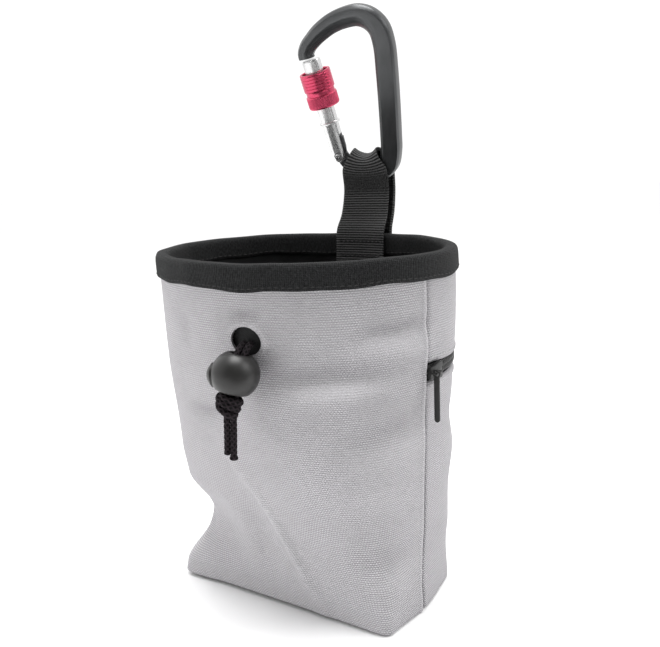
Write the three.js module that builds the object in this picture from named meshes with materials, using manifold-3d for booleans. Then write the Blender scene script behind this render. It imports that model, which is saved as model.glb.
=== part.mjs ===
// Dog treat pouch: an open canvas bag with a bound rim, a zipped back pocket,
// a drawcord with a ball toggle, and a screw-gate carabiner on a webbing loop.
// Millimetres, +Z up. The bag stands on z = 0, centred on the Z axis, and its front faces -Y.

import * as THREE from 'three';
import { mergeVertices } from 'three/addons/utils/BufferGeometryUtils.js';
import Module from 'manifold-3d';

const wasm = await Module();
wasm.setup();

// Driving dimensions of the bag
const rimHeight = 149.8;
const clearance = 0.3;
const canvasThickness = 1.3;
const liningThickness = 1.0;
const baseThickness = 1.5;
const bindingThickness = 1.1;
const bindingDepth = 9.6;
const bindingRound = { drop: 0.8, inset: 0.9 };
const cordHole = { width: 13, height: 11, level: 0.808, angle: -79.6, punchLength: 12 };
const zipTapeThickness = 0.8;
const zipTapeRecess = 0.5;
const zipTeethHeight = 2.8;

// Half width along X, half depth along Y and squareness of the bag at parts of its height
const sections = [
  { level: 0.00, halfWidth: 52.3, halfDepth: 27.7, squareness: 26 },
  { level: 0.07, halfWidth: 52.7, halfDepth: 29.1, squareness: 11 },
  { level: 0.20, halfWidth: 53.3, halfDepth: 32.4, squareness: 5.0 },
  { level: 0.45, halfWidth: 56.7, halfDepth: 42.8, squareness: 2.9 },
  { level: 0.70, halfWidth: 60.3, halfDepth: 50.6, squareness: 2.3 },
  { level: 1.00, halfWidth: 63.6, halfDepth: 54.0, squareness: 2.0 },
];

// Dents (negative depth) and bulges of the cloth, faded out over an angle and over the height
const folds = [
  { name: 'left corner tuck', angle: -150, level: 0.215, depth: -9.0, halfAngle: 44, above: 0.13, below: 0.17 },
  { name: 'rear right belly', angle: 40, level: 0.32, depth: 4.0, halfAngle: 48, above: 0.42, below: 0.30 },
  { name: 'rear right shoulder', angle: 35, level: 0.85, depth: 2.0, halfAngle: 55, above: 0.20, below: 0.40 },
  { name: 'right base bow', angle: 0, level: 0.00, depth: 2.6, halfAngle: 27, above: 0.16, below: 0.16 },
  { name: 'front left corner', angle: -152, level: 0.00, depth: 2.4, halfAngle: 14, above: 0.12, below: 0.12 },
  { name: 'front low hollow', angle: -98, level: 0.24, depth: -2.2, halfAngle: 22, above: 0.20, below: 0.16 },
  { name: 'side hollow', angle: -24, level: 0.30, depth: -2.0, halfAngle: 20, above: 0.26, below: 0.18 },
];

// Rows of the cloth grid. The zip fills the one row between zipLow and zipHigh.
const zipLow = 0.667;
const zipHigh = 0.722;
const wallTop = (rimHeight - bindingThickness - clearance) / rimHeight;
const lowerLevels = [0, 0.04, 0.10, 0.16, 0.215, 0.27, 0.34, 0.43, 0.52, 0.60, zipLow];
const upperLevels = [zipHigh, 0.83, 0.915, wallTop];
const levels = [...lowerLevels, ...upperLevels];

// Angles of the right side seam at the base and at the rim. The left seam mirrors it.
const seamAngle = { base: -2, rim: -9.2 };
const cornerAngle = THREE.MathUtils.radToDeg(Math.atan2(sections[0].halfDepth, sections[0].halfWidth));

// Columns of the cloth grid, counted round the bag from the left seam by way of the front
const stretches = [
  { name: 'left side to front corner', columns: 3 },
  { name: 'front', columns: 16 },
  { name: 'front corner to right side', columns: 3 },
  { name: 'right side to back corner', columns: 4 },
  { name: 'back', columns: 18 },
  { name: 'back corner to left side', columns: 4 },
];
const frontColumns = 22;
const backColumns = 26;
const allColumns = frontColumns + backColumns;

// Carabiner: its plane is turned about Z and leans over the mouth, and x, z lie in that plane
const carabinerPlace = { x: 1.3, y: 53.4, pivotZ: 178, yaw: 10, lean: 20 };
const basket = { x: 0.1, z: 203, radius: 23 };
const barThickness = 7;
const barWidth = 9.2;
const barSquareness = 3;
const tongueThickness = 3;
const hinge = { x: -12.7, z: 187.3 };
const gateLean = -7.7;
const gateLength = 44;
const hingePin = { radius: 1.2, length: 6.2, drillLength: 20 };
const forkSlot = { width: 12, height: 14, middle: 2.6 };
const sleeveStart = 23;

// Centre line of the bent bar from the nose over the crown, down the spine and round the basket
const barRows = [
  { x: -20.1, z: 231.7, width: 6.9, thickness: 6.6 },
  { x: -20.2, z: 233.5, width: 6.9, thickness: 6.8 },
  { x: -18.5, z: 236.5, width: 7.1, thickness: barThickness },
  { x: -15.6, z: 239.1, width: 7.4, thickness: barThickness },
  { x: -11.9, z: 241.8, width: 8.0, thickness: barThickness },
  { x: -5.7, z: 245.0, width: 8.4, thickness: barThickness },
  { x: 0.7, z: 246.7, width: 8.7, thickness: barThickness },
  { x: 6.5, z: 247.0, width: 9.0, thickness: barThickness },
  { x: 11.1, z: 245.1, width: barWidth, thickness: barThickness },
  { x: 14.5, z: 241.1, width: barWidth, thickness: barThickness },
  { x: 15.8, z: 234.7, width: barWidth, thickness: barThickness },
  { x: 15.5, z: 223.1, width: barWidth, thickness: barThickness },
  { x: 13.4, z: 195.9, width: barWidth, thickness: barThickness },
  { x: 12.4, z: 187.5, width: barWidth, thickness: barThickness },
  { x: 10.3, z: 181.6, width: barWidth, thickness: barThickness },
  { x: 6.0, z: 179.3, width: barWidth, thickness: barThickness },
  { x: 0.0, z: 179.8, width: barWidth, thickness: barThickness },
  { x: -4.0, z: 180.5, width: 9.0, thickness: barThickness },
  { x: -6.9, z: 181.6, width: 8.6, thickness: barThickness },
  { x: -8.9, z: 182.8, width: 6.6, thickness: tongueThickness },
  { x: -11.6, z: 187.4, width: 6.0, thickness: tongueThickness },
  { x: -11.1, z: 191.6, width: 4.4, thickness: tongueThickness },
  { x: -10.3, z: 196.0, width: 1.8, thickness: tongueThickness - 1 },
];

// Webbing loop: heights of a leg, with its centre and half width along the carabiner's plane
const webbingThickness = 1.5;
const webbingTurn = 22.5;
const webbingSplay = 0.2;
const webbingFree = 172;
const legRows = [
  { z: rimHeight - 13, centre: -2.4, half: 12.8 },
  { z: rimHeight - 5, centre: -2.4, half: 12.8 },
  { z: rimHeight + 2, centre: -2.3, half: 12.7 },
  { z: 159, centre: -1.3, half: 12.0 },
  { z: 171, centre: -0.5, half: 11.1 },
];
const turnSteps = [0, 30, 60, 90, 120, 150, 180];

// Toggle: a ball on two cord strands, with its bore leaning towards the bag at the top
const ballCentre = new THREE.Vector3(10.9, -60.3, 110.9);
const ballRadius = 8.9;
const ballTop = 7.7;
const ballFlat = 6.6;
const ballBoreRadius = 3.1;
const boreAxis = new THREE.Vector3(0.16, 0.235, 0.96).normalize();
const buttonAim = new THREE.Vector3(-0.93, -0.37, 0);
const button = {
  radius: 4.5, length: 4.4, proud: 1.6, chamfer: 0.9, dip: 15, pocketDepth: 5.2, pocketOverrun: 0.2,
};
const knot = { start: ballFlat + clearance, length: 8.0, boreRadius: 3.1 };
const cordDiameter = 2.4;
const strandAngle = 1.5;
const strandSpacing = new THREE.Vector3(0.84, 0.54, 0).multiplyScalar(1.4);

// Outline of the knot, from its lower end to its upper end
const knotRows = [
  { part: -1, radius: 3.8 },
  { part: -0.5, radius: 5.0 },
  { part: 0, radius: 4.4 },
  { part: 0.5, radius: 5.2 },
  { part: 1, radius: 4.0 },
];

// Where a strand runs: out of the hole, round a bend above the ball, then along the bore
const strandExit = { drop: 0.006, turn: 0.6, offset: -0.6 };
const strandBend = { corner: 9.6, radius: 6.6 };
const boreStations = [-4, -12, -15.2];

// The two strands, with the place under the knot from which each one hangs and its free end
const strands = [
  { name: 'drawcord_left', side: -1, tailTop: [8.3, -64.4, 91], freeEnd: [7.2, -63.5, 81] },
  { name: 'drawcord_right', side: 1, tailTop: [10.5, -63, 91], freeEnd: [10, -63.3, 79.3] },
];

// Zip slider and its pull, on the right side just behind the seam
const slider = {
  angle: -3.8, length: 9, height: 6.6, noseHeight: 4.8, taperFrom: -1.4, taperTo: 1.8, thickness: 1.3, lift: 1.0,
};
const pull = { length: 18, width: 2.2, thickness: 1.2, eyeRadius: 1.6, holeRadius: 1.0 };
const bridge = { middle: -1.7, span: 4.8, bar: 0.9, rise: 2.3, width: 0.9, sunk: 0.2 };

const colours = {
  canvas: { color: 0xbab7be, roughness: 0.95, metalness: 0 },
  binding: { color: 0x38373b, roughness: 0.9, metalness: 0 },
  lining: { color: 0x2c2c30, roughness: 0.7, metalness: 0 },
  webbing: { color: 0x202023, roughness: 0.85, metalness: 0 },
  zipTape: { color: 0x1d1d20, roughness: 0.9, metalness: 0 },
  zipTeeth: { color: 0x4b4b4f, roughness: 0.5, metalness: 0 },
  zipMetal: { color: 0x3d3d40, roughness: 0.4, metalness: 0.9 },
  darkAlloy: { color: 0x3c3d41, roughness: 0.45, metalness: 0.7 },
  silver: { color: 0xd4d5d7, roughness: 0.2, metalness: 1 },
  crimson: { color: 0xb23a5a, roughness: 0.4, metalness: 0.8 },
  plastic: { color: 0x3a3a3d, roughness: 0.6, metalness: 0 },
  cord: { color: 0x242427, roughness: 0.9, metalness: 0 },
};

const degrees = THREE.MathUtils.degToRad;
const lerp = THREE.MathUtils.lerp;

// Geometry helpers
function signedVolume(geometry) {
  const position = geometry.getAttribute('position');
  const index = geometry.getIndex();
  const corners = [0, 1, 2].map(() => new THREE.Vector3());
  let volume = 0;
  for (let i = 0; i < index.count; i += 3) {
    corners.forEach((corner, k) => corner.fromBufferAttribute(position, index.getX(i + k)));
    volume += corners[0].dot(corners[1].clone().cross(corners[2])) / 6;
  }
  return volume;
}

function welded(geometry) {
  const bare = geometry.clone();
  bare.deleteAttribute('normal');
  bare.deleteAttribute('uv');
  const merged = mergeVertices(bare, 1e-4);
  const index = merged.getIndex().array;
  const kept = [];
  for (let i = 0; i < index.length; i += 3) {
    const [a, b, c] = [index[i], index[i + 1], index[i + 2]];
    if (a !== b && b !== c && c !== a) kept.push(a, b, c);
  }
  merged.setIndex(kept);
  if (signedVolume(merged) < 0) {
    for (let i = 0; i < kept.length; i += 3) [kept[i], kept[i + 1]] = [kept[i + 1], kept[i]];
    merged.setIndex(kept);
  }
  return merged;
}

function reshaped(geometry, place) {
  const position = geometry.getAttribute('position');
  const point = new THREE.Vector3();
  for (let i = 0; i < position.count; i += 1) {
    const moved = place(point.fromBufferAttribute(position, i));
    position.setXYZ(i, moved.x, moved.y, moved.z);
  }
  return welded(geometry);
}

function toSolid(geometry) {
  const closed = welded(geometry);
  return new wasm.Manifold(new wasm.Mesh({
    numProp: 3,
    vertProperties: new Float32Array(closed.getAttribute('position').array),
    triVerts: new Uint32Array(closed.getIndex().array),
  }));
}

function toGeometry(solid) {
  const mesh = solid.getMesh();
  const geometry = new THREE.BufferGeometry();
  geometry.setAttribute('position', new THREE.BufferAttribute(mesh.vertProperties, mesh.numProp));
  geometry.setIndex(new THREE.BufferAttribute(mesh.triVerts, 1));
  return geometry;
}

function cut(geometry, ...tools) {
  const rest = tools.reduce((solid, tool) => solid.subtract(toSolid(tool)), toSolid(geometry));
  return toGeometry(rest);
}

function joined(first, second) {
  return toGeometry(toSolid(first).add(toSolid(second)));
}

function turnedAboutZ(profile, sides) {
  return new THREE.LatheGeometry(profile, sides).rotateX(Math.PI / 2);
}

function points(pairs) {
  return pairs.map(([r, z]) => new THREE.Vector2(r, z));
}

function named(name, geometry, finish) {
  const mesh = new THREE.Mesh(geometry, new THREE.MeshStandardMaterial(finish));
  mesh.name = name;
  return mesh;
}

// Surface of the bag
const sectionCurve = new THREE.CubicInterpolant(
  sections.map((row) => row.level),
  new Float64Array(sections.flatMap((row) => [row.halfWidth, row.halfDepth, row.squareness])),
  3,
);

function sectionAt(level) {
  const [halfWidth, halfDepth, squareness] = sectionCurve.evaluate(level);
  return { halfWidth, halfDepth, squareness };
}

function bump(s) {
  const inside = Math.max(0, 1 - s * s);
  return inside * inside;
}

function foldAt(level, angle) {
  return folds.reduce((sum, fold) => {
    const across = THREE.MathUtils.euclideanModulo(angle - fold.angle + 180, 360) - 180;
    const along = level - fold.level;
    const reach = along > 0 ? fold.above : fold.below;
    return sum + fold.depth * bump(across / fold.halfAngle) * bump(along / reach);
  }, 0);
}

function bagPoint(level, angle, offset) {
  const { halfWidth, halfDepth, squareness } = sectionAt(level);
  const a = degrees(angle);
  const partX = (Math.abs(Math.cos(a)) / (halfWidth + offset)) ** squareness;
  const partY = (Math.abs(Math.sin(a)) / (halfDepth + offset)) ** squareness;
  const radius = (partX + partY) ** (-1 / squareness) + foldAt(level, angle);
  return new THREE.Vector3(radius * Math.cos(a), radius * Math.sin(a), level * rimHeight);
}

function columnAngle(column, level) {
  const right = lerp(seamAngle.base, seamAngle.rim, level);
  const left = -180 - right;
  const ends = [left, -180 + cornerAngle, -cornerAngle, right, cornerAngle, 180 - cornerAngle, left + 360];
  let rest = column;
  for (let i = 0; i < stretches.length; i += 1) {
    const { columns } = stretches[i];
    if (rest <= columns || i === stretches.length - 1) return lerp(ends[i], ends[i + 1], rest / columns);
    rest -= columns;
  }
  return left;
}

// One piece of cloth between two columns and along some levels, as a bent box
function clothPanel(firstColumn, columns, rows, outerOffset, innerOffset) {
  const sheet = new THREE.BoxGeometry(1, 1, 1, columns, rows.length - 1, 1);
  return reshaped(sheet, (p) => {
    const column = Math.round((p.x + 0.5) * columns);
    const level = rows[Math.round((p.y + 0.5) * (rows.length - 1))];
    const seamGap = THREE.MathUtils.radToDeg(clearance / 2 / sectionAt(level).halfWidth);
    const trim = column === 0 ? seamGap : column === columns ? -seamGap : 0;
    const angle = columnAngle(firstColumn + column, level) + trim;
    return bagPoint(level, angle, p.z > 0 ? outerOffset : innerOffset);
  });
}

// A ring round the whole bag: rows give a level and an offset, and inside = 0 puts a row on the axis
function clothRing(rows, closed) {
  const profile = rows.map((row, i) => new THREE.Vector2(row.inside ?? 1, i));
  if (closed) profile.push(profile[0].clone());
  const ring = new THREE.LatheGeometry(profile, allColumns);
  const position = ring.getAttribute('position');
  const perColumn = profile.length;
  let vertex = 0;
  return reshaped(ring, () => {
    const column = Math.floor(vertex / perColumn);
    const row = rows[(vertex % perColumn) % rows.length];
    vertex = (vertex + 1) % position.count;
    if (row.inside === 0) return new THREE.Vector3(0, 0, row.level * rimHeight);
    return bagPoint(row.level, columnAngle(column, row.level), row.offset);
  });
}

// Bag
const gapLevel = clearance / rimHeight;

function frontPanel() {
  const cloth = clothPanel(0, frontColumns, levels, 0, -canvasThickness);
  const facing = degrees(cordHole.angle);
  const outward = new THREE.Vector3(Math.cos(facing), Math.sin(facing), 0);
  const punch = new THREE.CylinderGeometry(0.5, 0.5, cordHole.punchLength, 12);
  punch.scale(cordHole.width, 1, cordHole.height);
  punch.applyQuaternion(new THREE.Quaternion().setFromUnitVectors(new THREE.Vector3(0, 1, 0), outward));
  punch.translate(...bagPoint(cordHole.level, cordHole.angle, 0).toArray());
  return cut(cloth, punch);
}

function basePanel() {
  const edge = { offset: -canvasThickness - clearance };
  const topLevel = baseThickness / rimHeight;
  return clothRing([
    { level: 0, inside: 0 },
    { level: 0, ...edge },
    { level: topLevel, ...edge },
    { level: topLevel, inside: 0 },
  ], false);
}

function lining() {
  const outside = -canvasThickness - clearance;
  const inside = outside - liningThickness;
  const floorUnder = (baseThickness + clearance) / rimHeight;
  const floorTop = floorUnder + liningThickness / rimHeight;
  const walls = levels.filter((level) => level > floorTop);
  return clothRing([
    { level: floorUnder, inside: 0 },
    { level: floorUnder, offset: outside },
    ...walls.map((level) => ({ level, offset: outside })),
    ...walls.toReversed().map((level) => ({ level, offset: inside })),
    { level: floorTop, offset: inside },
    { level: floorTop, inside: 0 },
  ], false);
}

const bindingOuter = clearance + bindingThickness;
const bindingInner = -canvasThickness - liningThickness - 2 * clearance - bindingThickness;

function rimBinding() {
  const rows = [
    { offset: clearance, drop: bindingDepth },
    { offset: bindingOuter, drop: bindingDepth },
    { offset: bindingOuter, drop: bindingRound.drop },
    { offset: bindingOuter - bindingRound.inset, drop: 0 },
    { offset: bindingInner + bindingRound.inset, drop: 0 },
    { offset: bindingInner, drop: bindingRound.drop },
    { offset: bindingInner, drop: bindingDepth },
    { offset: bindingInner + bindingThickness, drop: bindingDepth },
    { offset: bindingInner + bindingThickness, drop: bindingThickness },
    { offset: clearance, drop: bindingThickness },
  ];
  return clothRing(rows.map(({ offset, drop }) => ({ offset, level: 1 - drop / rimHeight })), true);
}

// Zip
const zipMiddle = (zipLow + zipHigh) / 2;

function zipTape() {
  const rows = [zipLow + gapLevel, zipHigh - gapLevel];
  return clothPanel(frontColumns, backColumns, rows, -zipTapeRecess, -zipTapeRecess - zipTapeThickness);
}

function zipTeeth() {
  const half = zipTeethHeight / 2 / rimHeight;
  const rows = [zipMiddle - half, zipMiddle + half];
  return clothPanel(frontColumns, backColumns, rows, 2 * clearance, clearance - zipTapeRecess);
}

const sliderSeat = bagPoint(zipMiddle, slider.angle, 0);
const bridgeHeight = slider.lift + slider.thickness + bridge.rise - bridge.bar / 2;

function sliderBody() {
  const half = slider.length / 2;
  const plan = new THREE.Shape(points([
    [-half, -slider.noseHeight / 2],
    [slider.taperFrom, -slider.noseHeight / 2],
    [slider.taperTo, -slider.height / 2],
    [half, -slider.height / 2],
    [half, slider.height / 2],
    [slider.taperTo, slider.height / 2],
    [slider.taperFrom, slider.noseHeight / 2],
    [-half, slider.noseHeight / 2],
  ]));
  const plate = new THREE.ExtrudeGeometry(plan, { depth: slider.thickness, bevelEnabled: false });
  const arch = new THREE.Shape(points([
    [-bridge.span / 2, -bridge.sunk],
    [-bridge.span / 2 + bridge.bar, -bridge.sunk],
    [-bridge.span / 2 + bridge.bar, bridge.rise - bridge.bar],
    [bridge.span / 2 - bridge.bar, bridge.rise - bridge.bar],
    [bridge.span / 2 - bridge.bar, -bridge.sunk],
    [bridge.span / 2, -bridge.sunk],
    [bridge.span / 2, bridge.rise],
    [-bridge.span / 2, bridge.rise],
  ]));
  const loop = new THREE.ExtrudeGeometry(arch, { depth: bridge.width, bevelEnabled: false });
  loop.translate(bridge.middle, 0, -bridge.width / 2).rotateX(Math.PI / 2).translate(0, 0, slider.thickness);
  return joined(plate, loop).translate(0, 0, slider.lift);
}

function pullTab() {
  const outline = new THREE.Shape();
  const half = pull.width / 2;
  outline.moveTo(-half, -pull.length);
  outline.absarc(0, -pull.length, half, Math.PI, 2 * Math.PI);
  outline.lineTo(half, -pull.eyeRadius);
  outline.absarc(0, 0, pull.eyeRadius, -Math.PI / 4, Math.PI * 5 / 4);
  outline.lineTo(-half, -pull.eyeRadius);
  outline.holes.push(new THREE.Path().absarc(0, 0, pull.holeRadius, 0, 2 * Math.PI));
  const options = { depth: pull.thickness, bevelEnabled: false, curveSegments: 5 };
  return welded(new THREE.ExtrudeGeometry(outline, options).translate(0, 0, -pull.thickness / 2));
}

// Carabiner
function cornerRound(x, z) {
  return (Math.abs(x) ** barSquareness + Math.abs(z) ** barSquareness) ** (-1 / barSquareness);
}

function carabinerBar() {
  const centres = barRows.map(({ x, z }) => new THREE.Vector3(x, 0, z));
  const line = new THREE.CatmullRomCurve3(centres, false, 'centripetal');
  const stepsPerRow = 2;
  const steps = (barRows.length - 1) * stepsPerRow;
  const sides = 12;
  const rod = new THREE.CylinderGeometry(1, 1, 1, sides, steps);
  return reshaped(rod, (p) => {
    const along = 0.5 - p.y;
    const reach = Math.hypot(p.x, p.z);
    const centre = line.getPoint(along);
    if (reach < 0.5) return centre;
    const tangent = line.getTangent(along);
    const place = Math.min(along * (barRows.length - 1), barRows.length - 1 - 1e-9);
    const row = barRows[Math.floor(place)];
    const next = barRows[Math.floor(place) + 1];
    const part = place - Math.floor(place);
    const round = cornerRound(p.x, p.z);
    const across = p.x * round * lerp(row.width, next.width, part) / 2;
    const through = p.z * round * lerp(row.thickness, next.thickness, part) / 2;
    return new THREE.Vector3(centre.x - tangent.z * across, through, centre.z + tangent.x * across);
  });
}

function crossPin(radius, length) {
  return new THREE.CylinderGeometry(radius, radius, length, 12);
}

function carabinerBody() {
  const eye = crossPin(hingePin.radius + clearance, hingePin.drillLength).translate(hinge.x, 0, hinge.z);
  return cut(carabinerBar(), eye);
}

function gate() {
  const stem = turnedAboutZ(points([
    [0, -3.2],
    [2.8, -3.2],
    [3.5, -2.2],
    [3.6, 4],
    [3.8, 11],
    [3.9, 14.7],
    [4.7, 15.0],
    [4.7, 15.8],
    [3.9, 16.1],
    [4.2, gateLength - 0.5],
    [3.9, gateLength],
    [0, gateLength],
  ]), 16);
  const forkGap = new THREE.BoxGeometry(forkSlot.width, tongueThickness + 2 * clearance, forkSlot.height);
  forkGap.translate(0, 0, forkSlot.middle);
  return cut(stem, forkGap, crossPin(hingePin.radius + clearance, hingePin.drillLength));
}

function screwSleeve() {
  const sleeve = new THREE.LatheGeometry(points([
    [4.5, 0.4],
    [4.9, 0],
    [6.4, 0],
    [7.0, 0.7],
    [7.0, 5.6],
    [6.5, 5.9],
    [6.5, 7.6],
    [7.0, 7.9],
    [7.0, 15.4],
    [6.8, 15.8],
    [6.1, 15.8],
    [5.8, 15.4],
    [5.8, 8.6],
    [4.5, 8.0],
    [4.5, 0.4],
  ]), 18);
  return welded(sleeve.rotateX(Math.PI / 2));
}

// Webbing
const carabinerTurn = new THREE.Euler(degrees(carabinerPlace.lean), 0, degrees(carabinerPlace.yaw), 'ZXY');
const carabinerSeat = new THREE.Vector3(carabinerPlace.x, carabinerPlace.y, carabinerPlace.pivotZ);

function toBagFrame(x, y, z) {
  return new THREE.Vector3(x, y, z - carabinerPlace.pivotZ).applyEuler(carabinerTurn).add(carabinerSeat);
}

function backWallPoint(x, z, offset) {
  const { halfWidth, halfDepth } = sectionAt(Math.min(1, z / rimHeight));
  const worldX = carabinerPlace.x + x * Math.cos(degrees(carabinerPlace.yaw));
  const y = (halfDepth + offset) * Math.sqrt(1 - (worldX / (halfWidth + offset)) ** 2);
  return new THREE.Vector3(worldX, y, z);
}

function overBar(across, turn, depth) {
  const beta = degrees(across * webbingTurn);
  const a = degrees(turn);
  const round = cornerRound(Math.cos(a), Math.sin(a));
  const side = round * Math.cos(a) * (barThickness / 2 + clearance + depth);
  const rise = round * Math.sin(a) * (barWidth / 2 + clearance + depth);
  const reach = basket.radius - rise;
  const splay = 1 + webbingSplay * Math.cos(a) ** 2;
  return toBagFrame(basket.x + splay * reach * Math.sin(beta), -side, basket.z - reach * Math.cos(beta));
}

function onLeg(across, row, outside, depth) {
  const x = row.centre + across * row.half;
  const offset = outside ? bindingOuter + clearance + depth : bindingInner - clearance - depth;
  const wall = backWallPoint(x, row.z, offset);
  const side = barThickness / 2 + clearance + depth;
  const free = toBagFrame(x, outside ? side : -side, row.z);
  return wall.lerp(free, THREE.MathUtils.smoothstep(row.z, rimHeight, webbingFree));
}

function webbingLoop() {
  const acrossSteps = 6;
  const path = [
    ...legRows.map((row) => (across, depth) => onLeg(across, row, false, depth)),
    ...turnSteps.map((turn) => (across, depth) => overBar(across, turn, depth)),
    ...legRows.toReversed().map((row) => (across, depth) => onLeg(across, row, true, depth)),
  ];
  const strip = new THREE.BoxGeometry(1, 1, 1, acrossSteps, path.length - 1, 1);
  return reshaped(strip, (p) => {
    const step = path[Math.round((p.y + 0.5) * (path.length - 1))];
    return step(p.x * 2, p.z > 0 ? webbingThickness : 0);
  });
}

// Toggle and cords
function arc(radius, from, to, steps) {
  return Array.from({ length: steps + 1 }, (_, i) => {
    const a = lerp(from, to, i / steps);
    return [radius * Math.cos(a), radius * Math.sin(a)];
  });
}

function toggleBall() {
  const low = -Math.asin(ballFlat / ballRadius);
  const high = Math.asin(ballTop / ballRadius);
  const ring = new THREE.LatheGeometry(points([
    [ballBoreRadius, -ballFlat],
    ...arc(ballRadius, low, high, 8),
    [ballBoreRadius, ballTop],
    [ballBoreRadius, -ballFlat],
  ]), 18).rotateX(Math.PI / 2);
  const pocketRadius = button.radius + clearance;
  const pocket = new THREE.CylinderGeometry(pocketRadius, pocketRadius, button.pocketDepth, 16);
  pocket.rotateZ(Math.PI / 2).translate(button.pocketDepth / 2 - ballRadius - button.pocketOverrun, 0, 0);
  pocket.rotateY(-degrees(button.dip));
  return cut(ring, pocket);
}

function toggleButton() {
  const start = ballRadius + button.proud - button.length;
  const cap = new THREE.LatheGeometry(points([
    [0, start],
    [button.radius, start],
    [button.radius, start + button.length - button.chamfer],
    [button.radius - button.chamfer, start + button.length],
    [0, start + button.length],
  ]), 16);
  return welded(cap.rotateZ(Math.PI / 2).rotateY(-degrees(button.dip)));
}

function cordKnot() {
  const half = knot.length / 2;
  const barrel = new THREE.LatheGeometry(points([
    [knot.boreRadius, -half],
    ...knotRows.map(({ part, radius }) => [radius, part * half]),
    [knot.boreRadius, half],
    [knot.boreRadius, -half],
  ]), 14);
  return welded(barrel.rotateX(Math.PI / 2));
}

function roundedCorner(from, corner, to, radius) {
  const before = from.clone().sub(corner).normalize();
  const after = to.clone().sub(corner).normalize();
  const half = before.angleTo(after) / 2;
  const inward = before.clone().add(after).normalize();
  const forward = after.clone().sub(before).normalize();
  const centre = corner.clone().addScaledVector(inward, radius / Math.sin(half));
  return [-1, -0.5, 0, 0.5, 1].map((part) => {
    const swing = part * (Math.PI / 2 - half);
    const out = centre.clone().addScaledVector(inward, -radius * Math.cos(swing));
    return out.addScaledVector(forward, radius * Math.sin(swing));
  });
}

// Route of one strand: out of the hole, through ball and knot, then hanging to its free end
function cordStrand({ side, tailTop, freeEnd }) {
  const apart = strandSpacing.clone().multiplyScalar(side);
  const angle = cordHole.angle + strandExit.turn + side * strandAngle;
  const onBore = (distance) => ballCentre.clone().addScaledVector(boreAxis, distance).add(apart);
  const exit = bagPoint(cordHole.level - strandExit.drop, angle, strandExit.offset);
  const route = [
    exit,
    ...roundedCorner(exit, onBore(strandBend.corner), onBore(boreStations[0]), strandBend.radius),
    ...boreStations.map(onBore),
    new THREE.Vector3(...tailTop),
    new THREE.Vector3(...freeEnd),
  ];
  const section = new THREE.Shape(points(arc(cordDiameter / 2, 0, 2 * Math.PI * 7 / 8, 7)));
  const line = new THREE.CatmullRomCurve3(route, false, 'centripetal');
  return welded(new THREE.ExtrudeGeometry(section, { steps: 22, extrudePath: line }));
}

// Assembly
const pouch = new THREE.Group();

pouch.add(named('front_panel', frontPanel(), colours.canvas));
pouch.add(named(
  'back_panel_lower',
  clothPanel(frontColumns, backColumns, lowerLevels.with(-1, zipLow - gapLevel), 0, -canvasThickness),
  colours.canvas,
));
pouch.add(named(
  'back_panel_upper',
  clothPanel(frontColumns, backColumns, upperLevels.with(0, zipHigh + gapLevel), 0, -canvasThickness),
  colours.canvas,
));
pouch.add(named('base_panel', basePanel(), colours.canvas));
pouch.add(named('lining', lining(), colours.lining));
pouch.add(named('rim_binding', rimBinding(), colours.binding));
pouch.add(named('zip_tape', zipTape(), colours.zipTape));
pouch.add(named('zip_teeth', zipTeeth(), colours.zipTeeth));
pouch.add(named('webbing_loop', webbingLoop(), colours.webbing));

// The zip group has x along the zip, y up and z out of the cloth
const zipGroup = new THREE.Group();
zipGroup.position.copy(sliderSeat);
zipGroup.rotation.set(Math.PI / 2, Math.PI / 2 + degrees(slider.angle), 0, 'XYZ');
zipGroup.add(named('zip_slider', sliderBody(), colours.zipMetal));
const zipPull = named('zip_pull', pullTab(), colours.zipMetal);
zipPull.position.set(bridge.middle, 0, bridgeHeight);
zipPull.rotation.y = Math.PI / 2;
zipGroup.add(zipPull);
pouch.add(zipGroup);

const carabiner = new THREE.Group();
carabiner.position.copy(toBagFrame(0, 0, 0));
carabiner.rotation.copy(carabinerTurn);
carabiner.add(named('carabiner_body', carabinerBody(), colours.darkAlloy));
const gatePin = named('gate_pin', welded(crossPin(hingePin.radius, hingePin.length)), colours.silver);
gatePin.position.set(hinge.x, 0, hinge.z);
carabiner.add(gatePin);
const gateGroup = new THREE.Group();
gateGroup.position.set(hinge.x, 0, hinge.z);
gateGroup.rotation.y = degrees(gateLean);
gateGroup.add(named('carabiner_gate', gate(), colours.silver));
const sleeve = named('gate_sleeve', screwSleeve(), colours.crimson);
sleeve.position.z = sleeveStart;
gateGroup.add(sleeve);
carabiner.add(gateGroup);
pouch.add(carabiner);

// The toggle group has z along the bore, and the button's way dips from -x
const toggleX = buttonAim.clone().negate();
const toggleY = boreAxis.clone().cross(toggleX).normalize();
toggleX.crossVectors(toggleY, boreAxis);
const toggle = new THREE.Group();
toggle.position.copy(ballCentre);
toggle.quaternion.setFromRotationMatrix(new THREE.Matrix4().makeBasis(toggleX, toggleY, boreAxis));
toggle.add(named('toggle_ball', toggleBall(), colours.plastic));
toggle.add(named('toggle_button', toggleButton(), colours.plastic));
const knotMesh = named('cord_knot', cordKnot(), colours.cord);
knotMesh.position.z = -knot.start - knot.length / 2;
toggle.add(knotMesh);
pouch.add(toggle);

strands.forEach((strand) => pouch.add(named(strand.name, cordStrand(strand), colours.cord)));

export default pouch;
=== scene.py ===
import bpy
import math
import numpy as np
from mathutils import Matrix, Vector


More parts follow.
